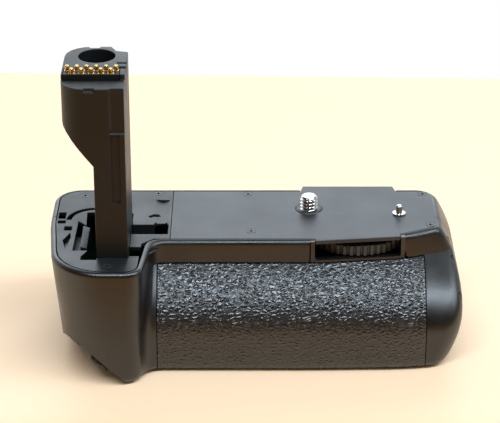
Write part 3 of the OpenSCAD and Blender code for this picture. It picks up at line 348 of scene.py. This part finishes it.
def outline(z, inset):
    """Plan of the body at a height, drawn in by an inset, with the places of its named columns."""
    share = rise(z)
    front = BELLY_Y + (BAND_Y - BELLY_Y) * share + inset
    end = RIGHT_X - SWELL * ((z - SWELL_Z) / (DECK_Z - SWELL_Z)) ** 2 - inset
    back, nose = BACK_Y - inset, FRONT_Y + inset
    left = LEFT_X + LEAN * (RIM_Z - min(z, RIM_Z)) + inset
    side = BLOCK_X - 0.8 * (1 - share) - inset
    fall = 2 + 7.5 * share
    end_r = max(END_TURN * (1 - share / 2) - inset, LEAST_TURN)
    back_r, tail_r = max(BACK_TURN - inset, LEAST_TURN), max(TAIL_TURN - inset, LEAST_TURN)
    left_r, side_r = LEFT_TURN - inset, max(SIDE_TURN - inset, LEAST_TURN)
    marks = {}
    points = [(left, y) for y in np.linspace(back - back_r, SPLIT_Y, 9)]
    marks["left split"] = len(points) - 1
    turn_y = nose + left_r - left_r * math.sin(TAPER)
    points += [(left + side_in(y), y) for y in np.linspace(SPLIT_Y, turn_y, 15)[1:]]
    left_hub = left + (TAPER_Y - turn_y) * math.tan(TAPER) + left_r * math.cos(TAPER)
    points += arc((left_hub, nose + left_r), left_r, 180 + math.degrees(TAPER), 270, 28)
    points += [(x, nose) for x in np.linspace(left_hub, side - side_r, 9)[1:]]
    turn_end = 337 + 17 * share ** 0.5
    points += arc((side - side_r, nose + side_r), side_r, 270, turn_end, 16)
    corner = points[-1]
    lean = -math.tan(math.radians(turn_end))
    start_y = max(front - VALLEY, corner[1] + 0.3)
    points += [(corner[0] + (y - corner[1]) * lean, y) for y in np.linspace(corner[1], start_y, 9)[1:]]
    # Front from the valley to the right corner, as heights over X
    a = np.array(points[-1])
    c = np.array((corner[0] + (front - corner[1]) * lean, front))
    b = c + np.array((VALLEY, 0))
    t = np.linspace(0, 1, 40)[:, None]
    valley = (1 - t) ** 2 * a + 2 * t * (1 - t) * c + t ** 2 * b
    start_a = -80 + 14 * share
    turn = math.radians(start_a)
    hub = (end - end_r, front + fall + end_r)
    last = (hub[0] + end_r * math.cos(turn), hub[1] + end_r * math.sin(turn))
    bends = [(BEND_X, front), (BEND_X + (end - BEND_X) * 0.67, front + fall * 0.38), last]
    slopes = [0] + [(q[1] - p[1]) / (q[0] - p[0]) for p, q in zip(bends, bends[1:])]

    def front_at(x):
        if x <= b[0]:
            return float(np.interp(x, valley[:, 0], valley[:, 1]))
        y = front
        for place, before, after in zip(bends, slopes, slopes[1:]):
            reach = min(8.0, (last[0] - bends[1][0]) * 0.8)
            d = x - place[0]
            y += (after - before) * (max(d, 0) if abs(d) > reach else (d + reach) ** 2 / (4 * reach))
        return y

    def columns(x0, x1, count):
        return [(x, front_at(x)) for x in np.linspace(x0, x1, count + 1)[1:]]

    points += columns(a[0], PANEL_X[0], 7)
    marks["panel left"] = len(points) - 1
    points += columns(PANEL_X[0], PANEL_X[0] + 6, 5)
    points += columns(PANEL_X[0] + 6, WINDOW_X[0], 24)
    marks["window left"] = len(points) - 1
    points += columns(WINDOW_X[0], WINDOW_X[1], 24)
    marks["window right"] = len(points) - 1
    points += columns(WINDOW_X[1], PANEL_X[1], 6)
    marks["panel right"] = len(points) - 1
    points += columns(PANEL_X[1], last[0], 6)
    points += arc(hub, end_r, start_a, 0, 16)
    points += [(end, y) for y in np.linspace(hub[1], SPLIT_Y, 10)[1:]]
    marks["right split"] = len(points) - 1
    points += [(end, y) for y in np.linspace(SPLIT_Y, back - tail_r, 9)[1:]]
    points += arc((end - tail_r, back - tail_r), tail_r, 0, 90, 16)
    points += [(x, back) for x in np.linspace(end - tail_r, left + back_r, 61)[1:]]
    points += arc((left + back_r, back - back_r), back_r, 90, 180, 16)[:-1]
    return points, marks


def edge_inset(z):
    if z < EDGE_R:
        return EDGE_R - math.sqrt(EDGE_R ** 2 - (EDGE_R - z) ** 2)
    if z > RIM_Z:
        return RIM_R - math.sqrt(max(RIM_R ** 2 - (z - RIM_Z) ** 2, 0))
    return 0.0


bottom = [0.0, 0.12, 0.32, PANEL_Z, 0.95, 1.4, 1.95, 2.65, EDGE_R]
middle = [5, 7, 9, 11, 12.7, *np.linspace(BELLY_Z, BAND_Z, 21), WINDOW_Z, 38.5, 40, 41.2, RIM_Z]
rim = [RIM_Z + RIM_R * math.sin(math.radians(a)) for a in (12, 25, 38, 52, 66, 79, 90)]
LEVELS = [(0.0, EDGE_R + WALL)] + [(z, edge_inset(z)) for z in [*bottom, *middle, *rim]]
MARKS = outline(20.0, 0)[1]
GRID = np.array([[(x, y, z) for x, y in outline(z, inset)[0]] for z, inset in LEVELS])
COLUMNS = GRID.shape[1]


def skin(name, wanted):
    """The faces of the body's form for which wanted(level, column) holds."""
    faces = []
    for i in range(len(LEVELS) - 1):
        for j in range(COLUMNS):
            if wanted(i, j):
                k = (j + 1) % COLUMNS
                low, high = i * COLUMNS, (i + 1) * COLUMNS
                faces.append([low + j, low + k, high + k, high + j])
    used = sorted({v for face in faces for v in face})
    place = {v: n for n, v in enumerate(used)}
    points = GRID.reshape(-1, 3)[used]
    return mesh_of(name, points, [[place[v] for v in face] for face in faces])


def prism(name, section, low, high, axis="Z"):
    """A closed bar with a counter-clockwise section, along Z or along X."""
    count = len(section)
    turn = {"Z": lambda p, h: (p[0], p[1], h), "X": lambda p, h: (h, p[0], p[1])}[axis]
    points = [turn(p, h) for h in (low, high) for p in section]
    faces = [[i, (i + 1) % count, count + (i + 1) % count, count + i] for i in range(count)]
    faces += [list(range(count - 1, -1, -1)), list(range(count, 2 * count))]
    return mesh_of(name, points, faces)


def carve(made, mesh, operation="DIFFERENCE"):
    """Adds a cut with a throwaway mesh to an object."""
    tool = add_object("tool", mesh)
    tool.hide_render = True
    cut = made.modifiers.new("cut", "BOOLEAN")
    cut.operation = operation
    cut.solver = "EXACT"
    cut.object = tool
    return tool


def thicken(made, thickness):
    """Gives an open skin a wall on its inner side."""
    wall = made.modifiers.new("wall", "SOLIDIFY")
    wall.thickness = thickness * MM
    wall.offset = -1


def bevelled(made, width, segments):
    """Breaks the sharp edges of an object."""
    edge = made.modifiers.new("edge", "BEVEL")
    edge.limit_method = "ANGLE"
    edge.angle_limit = math.radians(62)
    edge.width = width * MM
    edge.segments = segments
    edge.use_clamp_overlap = False


def broken(name, mesh, bevel, reach=0.3):
    """The mesh with its sharp edges broken; points thrown off the form or under the base are drawn back."""
    made = add_object(name, mesh)
    bevelled(made, bevel, 2)
    result = applied(made)
    guide = BVHTree.FromPolygons([v.co for v in mesh.vertices], [list(p.vertices) for p in mesh.polygons])
    for v in result.vertices:
        place, normal, index, distance = guide.find_nearest(v.co)
        if distance > reach * MM:
            v.co = place
        v.co.z = max(v.co.z, 0.0)
    return result


def walled(name, wanted, thickness, tools, planes=(), bevel=0.25):
    """A wall on part of the body's form, cut with planes and tools, then with its edges broken."""
    made = add_object(name, above(skin(name, wanted), planes))
    thicken(made, thickness)
    cutters = [carve(made, mesh, operation) for operation, mesh in tools]
    mesh = applied(made)
    for tool in cutters:
        bpy.data.objects.remove(tool)
    return broken(name, mesh, bevel)


def joined(name, meshes):
    """One mesh from several."""
    form = bmesh.new()
    for mesh in meshes:
        form.from_mesh(mesh)
    made = bpy.data.meshes.new(name)
    form.to_mesh(made)
    form.free()
    return made


def box_mesh(low, high):
    """A closed box between two corners."""
    (x0, y0, z0), (x1, y1, z1) = low, high
    return prism("box", [(x0, y0), (x1, y0), (x1, y1), (x0, y1)], z0, z1)


def above(mesh, planes):
    """The part of a mesh above each of some tilted planes, given as (place, tilt, turn)."""
    form = bmesh.new()
    form.from_mesh(mesh)
    for place, tilt, turn in planes:
        up = Vector((math.sin(tilt) * math.cos(turn), math.sin(tilt) * math.sin(turn), math.cos(tilt)))
        bmesh.ops.bisect_plane(form, geom=[*form.verts, *form.edges, *form.faces], dist=0.001 * MM,
            plane_co=place * MM, plane_no=up, clear_inner=True)
    form.to_mesh(mesh)
    form.free()
    return mesh


def corner_frame(x, y):
    """Frame on the corner facet, with its Z axis out of the body."""
    ahead = (CORNER_AT.x - x) * math.cos(CORNER_TURN) + (CORNER_AT.y - y) * math.sin(CORNER_TURN)
    place = Vector((x, y, CORNER_AT.z + math.tan(CORNER_A) * ahead))
    turn = Matrix.Rotation(CORNER_TURN, 4, "Z") @ Matrix.Rotation(math.pi + CORNER_A, 4, "Y")
    return Matrix.Translation(place * MM) @ turn


# The slope and the corner facet under the left block
SLOPE = (SLOPE_AT, SLOPE_A, 0.0)
FACET = (CORNER_AT, CORNER_A, CORNER_TURN)


def shutter_hole():
    hole = drum((0, 0, 8), SHUTTER_R + 0.35, 20, "Z")
    hole.transform(corner_frame(*SHUTTER_AT))
    return ("DIFFERENCE", hole)


def drum(centre, radius, depth, axis="Y", count=48):
    """A closed round bar."""
    turns = [2 * math.pi * i / count for i in range(count)]
    ring = [(radius * math.cos(a), radius * math.sin(a)) for a in turns]
    mesh = prism("drum", ring, -depth / 2, depth / 2)
    turn = {"Y": Matrix.Rotation(math.radians(90), 4, "X"), "Z": Matrix.Identity(4)}[axis]
    mesh.transform(Matrix.Translation(Vector(centre) * MM) @ turn)
    return mesh


# Section of the battery door and of its opening, over Y and Z
CHAMBER_Y, CHAMBER_Z = (-13.0, 30.1), (3.4, 32.6)


def door_section(t):
    y0, y1, z0, z1 = CHAMBER_Y[0] - t, CHAMBER_Y[1] + t, CHAMBER_Z[0] - t, CHAMBER_Z[1] + t
    return [(y0, z0), (y1, z0), (y1, z1), (y0 + 12, z1), (y0, z1 - 8)]


level_of = {round(z, 4): i for i, (z, inset) in enumerate(LEVELS)}
PANEL_LEVELS = (level_of[PANEL_Z], level_of[BAND_Z])


def on_front(j):
    return MARKS["left split"] <= j < MARKS["right split"]


def on_panel(i, j):
    return PANEL_LEVELS[0] <= i < PANEL_LEVELS[1] and MARKS["panel left"] <= j < MARKS["panel right"]


def in_window(i, j):
    return i >= level_of[WINDOW_Z] and MARKS["window left"] <= j < MARKS["window right"]


def small_plate(x0, x1, z0, z1, r, count=8):
    """Rounded rectangle over X and Z, counter-clockwise."""
    ring = []
    corners = ((x1 - r, z1 - r), (x0 + r, z1 - r), (x0 + r, z0 + r), (x1 - r, z0 + r))
    for quarter, (cx, cz) in enumerate(corners):
        turns = [math.radians(90 * quarter + 90 * i / count) for i in range(count + 1)]
        ring += [(cx + r * math.cos(a), cz + r * math.sin(a)) for a in turns]
    return ring


def along_y(section, y0, y1):
    """A closed bar along Y with its section over X and Z."""
    mesh = prism("bar", section, -y1, -y0)
    mesh.transform(Matrix.Rotation(math.radians(90), 4, "X"))
    return mesh


DOOR_T = 1.5
POST = 1.5
DOOR_X = RIGHT_X - 7.45
LATCH_Y, LATCH_Z = (-2.45, 8.35), (14.65, 27.35)
EARS_Z, KNUCKLE_Z = ((10.0, 14.15), (27.85, 32.0)), (14.5, 27.5)
BUTTON_X, BUTTON_Z, BUTTON_R = (LEFT_X + 19, LEFT_X + 29), 24.0, 3.55
PAD = (LEFT_X + 38, LEFT_X + 60, 8.0, 34.0)


def frame_grooves():
    """Narrow grooves in the band, outside the window frame's posts."""
    cuts = []
    for x0, deep in ((WINDOW_X[0] - POST - 0.35, BAND_Y + 0.5), (WINDOW_X[1] + POST, BAND_Y + 4.2)):
        cuts.append(("DIFFERENCE", box_mesh((x0, -40, 35.6), (x0 + 0.35, deep, 50))))
    return cuts


def shells():
    """The two body shells, with the openings for the door, the controls and the plate's tab."""
    door = ("DIFFERENCE", prism("door", door_section(DOOR_T), DOOR_X - 6, 90, "X"))
    front = walled("front_shell", lambda i, j: on_front(j) and not on_panel(i, j) and not in_window(i, j),
        WALL, [shutter_hole(), door, *frame_grooves()], (SLOPE, FACET))
    settle("front_shell_piece", front, SHELL, "body", ["front_shell"], 40)
    cuts = [door, ("DIFFERENCE", door_swing())]
    cuts += [("DIFFERENCE", drum((x, BACK_Y, BUTTON_Z), BUTTON_R, 12)) for x in BUTTON_X]
    cuts += [("DIFFERENCE", box_mesh((TAB_X[0], BACK_Y - 3.2, SEAT_Z), (TAB_X[1], 60, 60)))]
    cuts += [("DIFFERENCE", along_y(small_plate(PAD[0], PAD[1], PAD[2], PAD[3], 5.05), BACK_Y - 0.8, 50))]
    rear = walled("rear_shell", lambda i, j: not on_front(j), WALL, cuts, (SLOPE,))
    ears = [ear(z0, z1) for z0, z1 in EARS_Z]
    settle("rear_shell_piece", joined("rear_shell", [rear, *ears]), SHELL, "body", ["rear_shell"], 40)


def door_swing():
    """Room at the rear corner for the door's edge, which turns about the hinge."""
    ring = [(HINGE.x, HINGE.y), *arc((HINGE.x, HINGE.y), 3.6, -38, 106, 18)]
    return prism("swing", ring, CHAMBER_Z[0] - DOOR_T, CHAMBER_Z[1] + DOOR_T)


def bone(a, ra, b, rb, low, high):
    """A bar along Z around two circles."""
    dx, dy = b[0] - a[0], b[1] - a[1]
    reach = math.hypot(dx, dy)
    lead = math.degrees(math.atan2(dy, dx))
    open_a = math.degrees(math.acos((ra - rb) / reach))
    ring = arc(a, ra, lead + open_a - 0.01, lead + 360 - open_a, 20)
    ring += arc(b, rb, lead - open_a - 0.01, lead + open_a, 12)
    return prism("bone", ring, low, high)


def ear(low, high):
    return bone((HINGE.x, HINGE.y), 1.7, (HINGE.x - 2.2, 32.2), 0.9, low, high)


def battery_door():
    """The door at the right end: the same form, cut out inside the opening."""
    inside = [("INTERSECT", prism("door", door_section(DOOR_T - 0.35), DOOR_X, 90, "X")),
        ("DIFFERENCE", box_mesh((60, HINGE.y - 0.35, -10), (90, 60, 60))),
        ("DIFFERENCE", drum((HINGE.x, HINGE.y, 21), 2.05, 22.7, "Z")),
        ("DIFFERENCE", box_mesh((60, LATCH_Y[0], LATCH_Z[0]), (90, LATCH_Y[1], LATCH_Z[1])))]
    wall = walled("battery_door", lambda i, j: GRID[i, j, 0] > 50, WALL, inside)
    knuckle = bone((HINGE.x, HINGE.y), 1.7, (HINGE.x + 0.6, HINGE.y - 3.4), 0.9, *KNUCKLE_Z)
    whole = joined("battery_door", [wall, knuckle])
    settle("battery_door_piece", whole, SHELL, "door", ["battery_door"], 40)


def grip_panel():
    """Leather grain skin over the belly, a hair smaller than its recess."""
    mesh = skin("grip_panel", on_panel)
    for v in mesh.vertices:
        x, z = v.co.x / MM, v.co.z / MM
        v.co.x += 0.12 * MM * ((abs(x - PANEL_X[0]) < 0.01) - (abs(x - PANEL_X[1]) < 0.01))
        v.co.z += 0.12 * MM * ((abs(z - PANEL_Z) < 0.01) - (abs(z - BAND_Z) < 0.01))
    made = add_object("grip_panel", mesh)
    thicken(made, PANEL_T)
    bevelled(made, 0.3, 3)
    settle("grip_panel_piece", applied(made), LEATHER, "body", ["grip_panel"], 45)


class Growth:
    """A Geometry Nodes tree with named number inputs, worked out to a plain mesh."""

    def __init__(self, name, sizes):
        self.tree = bpy.data.node_groups.new(name, "GeometryNodeTree")
        self.tree.interface.new_socket("Geometry", in_out="INPUT", socket_type="NodeSocketGeometry")
        self.tree.interface.new_socket("Geometry", in_out="OUTPUT", socket_type="NodeSocketGeometry")
        self.keys = {}
        for size, value in sizes.items():
            kind = "NodeSocketInt" if isinstance(value, int) else "NodeSocketFloat"
            socket = self.tree.interface.new_socket(size, in_out="INPUT", socket_type=kind)
            self.keys[size] = socket.identifier
        self.sizes = sizes
        self.entry = self.tree.nodes.new("NodeGroupInput")
        self.exit = self.tree.nodes.new("NodeGroupOutput")

    def size(self, name):
        return self.entry.outputs[name]

    def node(self, kind, settings=None, sockets=None, output=0):
        made = self.tree.nodes.new(kind)
        for name, value in (settings or {}).items():
            setattr(made, name, value)
        for key, value in (sockets or {}).items():
            for one in value if isinstance(value, list) else [value]:
                if isinstance(one, bpy.types.NodeSocket):
                    self.tree.links.new(one, made.inputs[key])
                else:
                    made.inputs[key].default_value = one
        return made.outputs[output]

    def spread(self, instance):
        """The instance on each point of the base mesh."""
        sockets = {"Points": self.entry.outputs[0], "Instance": instance}
        return self.node("GeometryNodeInstanceOnPoints", None, sockets)

    def result(self, geometry, finish, base):
        """Realizes the geometry on a base mesh and gives it back as a mesh."""
        real = self.node("GeometryNodeRealizeInstances", None, {0: geometry})
        painted = self.node("GeometryNodeSetMaterial", None, {0: real, "Material": finish.material})
        self.tree.links.new(painted, self.exit.inputs[0])
        made = add_object("growth", base)
        grown = made.modifiers.new("growth", "NODES")
        grown.node_group = self.tree
        for size, value in self.sizes.items():
            grown[self.keys[size]] = value
        return applied(made)


def turned(growth, profile, count):
    """A body of revolution about Z in a tree, from (radius, height) pairs in millimetres."""
    parts = []
    for (r0, z0), (r1, z1) in zip(profile, profile[1:]):
        sizes = {"Vertices": count, "Radius Bottom": r0 * MM, "Radius Top": r1 * MM, "Depth": (z1 - z0) * MM}
        cone = growth.node("GeometryNodeMeshCone", {"fill_type": "NONE"}, sizes, "Mesh")
        parts.append(growth.node("GeometryNodeTransform", None, {0: cone, "Translation": (0, 0, z0 * MM)}))
    return growth.node("GeometryNodeJoinGeometry", None, {0: parts})


def contact_pins():
    """Sprung pins with rounded tips, in their two rows."""
    pitch, top, rear_y, fore_y = 3.33, 108.8, -10.3, -13.1
    middle = LEFT_X + 18.0
    first = middle - pitch * 2.5
    rows = [(first + pitch * i, rear_y, top) for i in range(6)]
    rows += [(first + pitch * (i + 0.5), fore_y, top) for i in range(5)]
    pins = Growth("contact pins", {"Rounding": 24})
    tip = [(0.70, 1.65), (0.52, 1.82), (0.28, 1.89), (0.02, 1.9)]
    form = turned(pins, [(0.75, -3.5), (0.75, 0.9), (0.75, 1.4), *tip], pins.size("Rounding"))
    mesh = pins.result(pins.spread(form), GOLD, mesh_of("pin places", rows, []))
    settle("contact_pins_piece", mesh, GOLD, "contacts", ["contact_pins"], 50)


def small_screws(node, places, turn=None):
    """Countersunk screws with a cross recess, one group for each node."""
    radius, height = 1.66, 1.6
    growth = Growth(node + " heads", {"Recess": 0.42 * MM, "Reach": 1.9 * MM, "Depth": 1.1 * MM})
    head = growth.node("GeometryNodeMeshCylinder", None,
        {"Vertices": 32, "Radius": radius * MM, "Depth": height * MM}, "Mesh")
    head = growth.node("GeometryNodeTransform", None, {0: head, "Translation": (0, 0, -height / 2 * MM)})
    bars = []
    for wide, deep in (("Reach", "Recess"), ("Recess", "Reach")):
        sides = {0: growth.size(wide), 1: growth.size(deep), 2: growth.size("Depth")}
        size = growth.node("ShaderNodeCombineXYZ", None, sides)
        bars.append(growth.node("GeometryNodeMeshCube", None, {"Size": size}, "Mesh"))
    solids = {"Mesh 1": head, "Mesh 2": bars}
    cut = growth.node("GeometryNodeMeshBoolean", {"operation": "DIFFERENCE"}, solids, "Mesh")
    spread = growth.spread(cut)
    if turn is not None:
        spread = growth.node("GeometryNodeRotateInstances", None, {0: spread, "Rotation": turn})
    mesh = growth.result(spread, SCREW, mesh_of("screw places", places, []))
    settle(node + "_piece", mesh, SCREW, "body", [node], 35)


def threaded(centre, root, crest, pitch, low, high, count=72, fine=14):
    """A threaded rod about Z: the radius follows the helix, and fades out at the chamfered tip."""
    heights = np.linspace(low, high, int((high - low) / pitch * fine) + 1)
    points = []
    for z in heights:
        tip = crest - max(0.0, z - (high - 0.7)) * 1.1
        for i in range(count):
            phase = ((z - low) / pitch - i / count) % 1
            flank = min(max(abs(phase * 2 - 1) * 1.3 - 0.15, 0), 1)
            radius = min(crest - (crest - root) * flank, tip)
            turn = 2 * math.pi * i / count
            points.append((centre.x + radius * math.cos(turn), centre.y + radius * math.sin(turn), z))
    faces = []
    for level in range(len(heights) - 1):
        for i in range(count):
            k = (i + 1) % count
            ring, above_it = level * count, (level + 1) * count
            faces.append([ring + i, ring + k, above_it + k, above_it + i])
    faces.append([(len(heights) - 1) * count + i for i in range(count)])
    faces.append(list(range(count - 1, -1, -1)))
    return mesh_of("thread", points, faces)


def tripod_screw():
    """Quarter-inch screw with its thread, and the journal and pinion that carry it, in black plate paint as
    painted shade round the screw's foot.
    """
    thread = threaded(SCREW_AT, root=2.55, crest=3.175, pitch=1.27, low=43.9, high=49.2)
    settle("tripod_screw_piece", thread, STEEL, "screw", [], 24)
    foot = bmesh.new()
    foot.from_mesh(frame["nodes"]["tripod_screw"].data)
    bmesh.ops.remove_doubles(foot, verts=foot.verts[:], dist=0.002 * MM)
    stem_r, stem_z = 3.4, DECK_Z + 0.1
    stem = [v for v in foot.verts if math.hypot(v.co.x / MM - SCREW_AT.x, v.co.y / MM - SCREW_AT.y) < stem_r]
    bmesh.ops.delete(foot, geom=[v for v in stem if v.co.z > stem_z * MM], context="VERTS")
    bmesh.ops.holes_fill(foot, edges=foot.edges[:], sides=0)
    lower = bpy.data.meshes.new("pinion")
    foot.to_mesh(lower)
    foot.free()
    # Black plate paint on the journal: painted shade round the screw's foot.
    settle("screw_journal_piece", lower, PLATE, "screw", ["tripod_screw"], 40)


def top_plate():
    """The plate, with the corners of its rear tab cut off."""
    made = dressed("top_plate", PLATE, 0.3)
    slant = 0.9
    for v in made.data.vertices:
        x, y = v.co.x / MM, v.co.y / MM
        if y > BACK_Y + 1.2:
            v.co.x += slant * MM * ((abs(x - TAB_X[0]) < 1) - (abs(x - TAB_X[1]) < 1))


def band_y(x):
    """Front of the band over X."""
    reach = slice(MARKS["panel left"], MARKS["panel right"] + 1)
    level = level_of[38.5]
    return float(np.interp(x, GRID[level, reach, 0], GRID[level, reach, 1]))


def bar(path, half, out, deep):
    """A bar of rectangular section along a path of (x, z) places on the band's face."""
    points, faces = [], []
    for i, (x, z) in enumerate(path):
        before, after = path[max(i - 1, 0)], path[min(i + 1, len(path) - 1)]
        along = Vector((after[0] - before[0], after[1] - before[1])).normalized()
        side = Vector((-along.y, along.x))
        for reach, y in ((half, -out), (-half, -out), (-half, deep), (half, deep)):
            px = x + side.x * reach
            points.append((px, band_y(px) + y, z + side.y * reach))
    for i in range(len(path) - 1):
        for k in range(4):
            n = (k + 1) % 4
            faces.append([4 * i + k, 4 * i + n, 4 * i + 4 + n, 4 * i + 4 + k])
    faces += [[3, 2, 1, 0], [4 * len(path) - 4 + k for k in range(4)]]
    return mesh_of("bar", points, faces)


def window_frame():
    """Raised frame round the dial's window, on the front shell: two posts and a bar under the dial."""
    x0, x1, low = WINDOW_X[0] - POST / 2, WINDOW_X[1] + POST / 2, WINDOW_Z - 0.55
    posts = [bar([(x, 35.65), (x, 39), (x, 43.75)], POST / 2, 0.3, 2.0) for x in (x0, x1)]
    foot = bar([(x, low) for x in np.linspace(x0, x1, 31)], 0.5, 0.3, 0.7)
    whole = joined("window_frame", [broken("frame", mesh, 0.14) for mesh in (*posts, foot)])
    settle("window_frame", whole, SHELL, "body", [], 40)


shells()
battery_door()
grip_panel()
window_frame()
tripod_screw()
contact_pins()
PLATE_SCREWS = [(-2.6, 29.4), (-1.5, -2.0), (61.9, 29.4), (63.0, 3.3)]
DECK_SCREWS = [(-51.2, -29.85), (-35.8, 29.8), (-62.8, 28.0)]
BASE_SCREWS = [(-28.8, -17.8), (38.8, -17.8), (-28.8, 25.8), (-0.8, 25.8)]
TOWER_SCREWS = [(-51.8, 12.3, 56), (-51.8, 12.3, 90)]
small_screws("plate_screws", [(x, y, DECK_Z) for x, y in PLATE_SCREWS])
small_screws("deck_screws", [(x, y, DECK_Z) for x, y in DECK_SCREWS])
small_screws("base_screws", [(x, y, 0) for x, y in BASE_SCREWS], (math.pi, 0, 0))
small_screws("tower_screws", TOWER_SCREWS, (-math.pi / 2, 0, 0))

dressed("base_cover", SHELL, 0.2)
top_plate()
dressed("tower_deck", DECK, 0.18)
dressed("thumb_pad", LEATHER, 0.35)
dressed("tower_front", TOWER, 0.35)
dressed("tower_back", TOWER, 0.35)
dressed("contact_holder", TOWER, 0.12)
dressed("contact_barrels", GOLD, 0)
dressed("cover_clip", DECK, 0.2)
dressed("attachment_dial", DIAL_PAINTED_LIGHT, 0.12)
dressed("dial_axle", STEEL, 0.1)
dressed("locating_pin", STEEL, 0.1)
dressed("battery_chamber", CHAMBER, 0.15)
dressed("battery_terminals", GOLD, 0.08)
dressed("door_hinge_pin", STEEL, 0.1)
dressed("door_latch", CONTROL, 0.12)
dressed("circuit_board", BOARD, 0.08)
dressed("ribbon_cable", RIBBON, 0)
dressed("control_panel", SHELL, 0.12)
dressed("shutter_button", CONTROL, 0.25)
dressed("shutter_switch", CHAMBER, 0.12)
dressed("command_dial", CONTROL, 0.1)
dressed("command_axle", STEEL, 0.1)
dressed("exposure_button", CONTROL, 0.15)
dressed("focus_button", CONTROL, 0.15)
dressed("button_board", BOARD, 0.08)
dressed("power_switch", CONTROL, 0.12)
dressed("tripod_socket", STEEL, 0.15)


def table_top(far_left, far_right):
    """Pale table that ends behind the object, warmer towards the viewer."""
    finish = Finish("pale table", None, Roughness=0.5, Specular_IOR_Level=0.3)
    parts = finish.node("ShaderNodeSeparateXYZ", None, {0: finish.spot}, "Y")
    near = finish.step(parts, -0.05, -0.13)
    grain = finish.noise(60, 2, 0.5, finish.stretch((0.06, 1.0, 1.0)))
    finish.tone((0.98, 0.72, 0.49), (0.66, 0.28, 0.055), near * 0.95 + grain * 0.06)
    mesh = bpy.data.meshes.new("table")
    mesh.from_pydata([(-2, -3, 0), (2, -3, 0), (2, far_right, 0), (-2, far_left, 0)], [], [[0, 1, 2, 3]])
    mesh.materials.append(finish.material)
    add_object("table", mesh)


def room():
    """White room for the camera; reflections find it bright and cool behind, dim and warm in front."""
    world = bpy.data.worlds.new("room")
    bpy.context.scene.world = world
    world.use_nodes = True
    nodes, links = world.node_tree.nodes, world.node_tree.links
    nodes.clear()
    rays = nodes.new("ShaderNodeLightPath")
    seen = nodes.new("ShaderNodeMath")
    seen.operation = "MAXIMUM"
    links.new(rays.outputs["Is Camera Ray"], seen.inputs[0])
    links.new(rays.outputs["Is Glossy Ray"], seen.inputs[1])
    way, parts = nodes.new("ShaderNodeTexCoord"), nodes.new("ShaderNodeSeparateXYZ")
    links.new(way.outputs["Generated"], parts.inputs[0])
    behind = nodes.new("ShaderNodeMapRange")
    links.new(parts.outputs["Y"], behind.inputs["Value"])
    behind.inputs["From Min"].default_value = 0.05
    behind.inputs["From Max"].default_value = 0.65
    walls, view = nodes.new("ShaderNodeMix"), nodes.new("ShaderNodeMix")
    for mix in (walls, view):
        mix.data_type = "RGBA"
    links.new(behind.outputs[0], walls.inputs[0])
    walls.inputs[6].default_value = (0.12, 0.09, 0.06, 1)
    walls.inputs[7].default_value = (0.92, 0.97, 1.0, 1)
    links.new(rays.outputs["Is Camera Ray"], view.inputs[0])
    links.new(walls.outputs[2], view.inputs[6])
    view.inputs[7].default_value = (1.0, 1.0, 1.0, 1)
    light, wall = nodes.new("ShaderNodeBackground"), nodes.new("ShaderNodeBackground")
    light.inputs["Color"].default_value = (1.0, 0.88, 0.74, 1)
    light.inputs["Strength"].default_value = 0.36
    links.new(view.outputs[2], wall.inputs["Color"])
    wall.inputs["Strength"].default_value = 1.0
    pick, out = nodes.new("ShaderNodeMixShader"), nodes.new("ShaderNodeOutputWorld")
    links.new(seen.outputs[0], pick.inputs[0])
    links.new(light.outputs[0], pick.inputs[1])
    links.new(wall.outputs[0], pick.inputs[2])
    links.new(pick.outputs[0], out.inputs["Surface"])


def lamp(name, place, size, power, colour):
    """A soft panel of light turned to the object."""
    light = bpy.data.lights.new(name, "AREA")
    light.shape = "RECTANGLE"
    light.size, light.size_y = size
    light.energy = power
    light.color = colour
    stand = bpy.data.objects.new(name, light)
    bpy.context.scene.collection.objects.link(stand)
    stand.location = place
    stand.rotation_euler = (Vector((0, 0, 0.03)) - Vector(place)).to_track_quat("-Z", "Y").to_euler()
    stand.visible_camera = False


def studio():
    """The table, the room, a window behind and a bright ceiling over the viewer."""
    table_top(0.3223, 0.1943)
    room()
    lamp("window", (-0.1, 1.0, 0.60), (1.5, 0.8), 7.0, (0.80, 0.91, 1.0))
    lamp("ceiling", (0.15, -0.52, 1.22), (1.8, 0.24), 21.0, (0.76, 0.89, 1.0))
    lamp("side window", (1.0, -0.10, 0.85), (0.5, 0.6), 5.5, (0.76, 0.89, 1.0))


def photograph():
    """Camera at the photograph's place."""
    lens = bpy.data.cameras.new("camera")
    lens.sensor_width = 36
    lens.lens = 36 * 2100 / 500
    lens.clip_start = 0.01
    camera = bpy.data.objects.new("camera", lens)
    bpy.context.scene.collection.objects.link(camera)
    camera.location = (-0.0019, -0.6765, 0.3712)
    camera.rotation_euler = (math.radians(90 - 25.35), 0, 0)
    bpy.context.scene.camera = camera


studio()
photograph()
bpy.context.scene.view_settings.view_transform = "Standard"
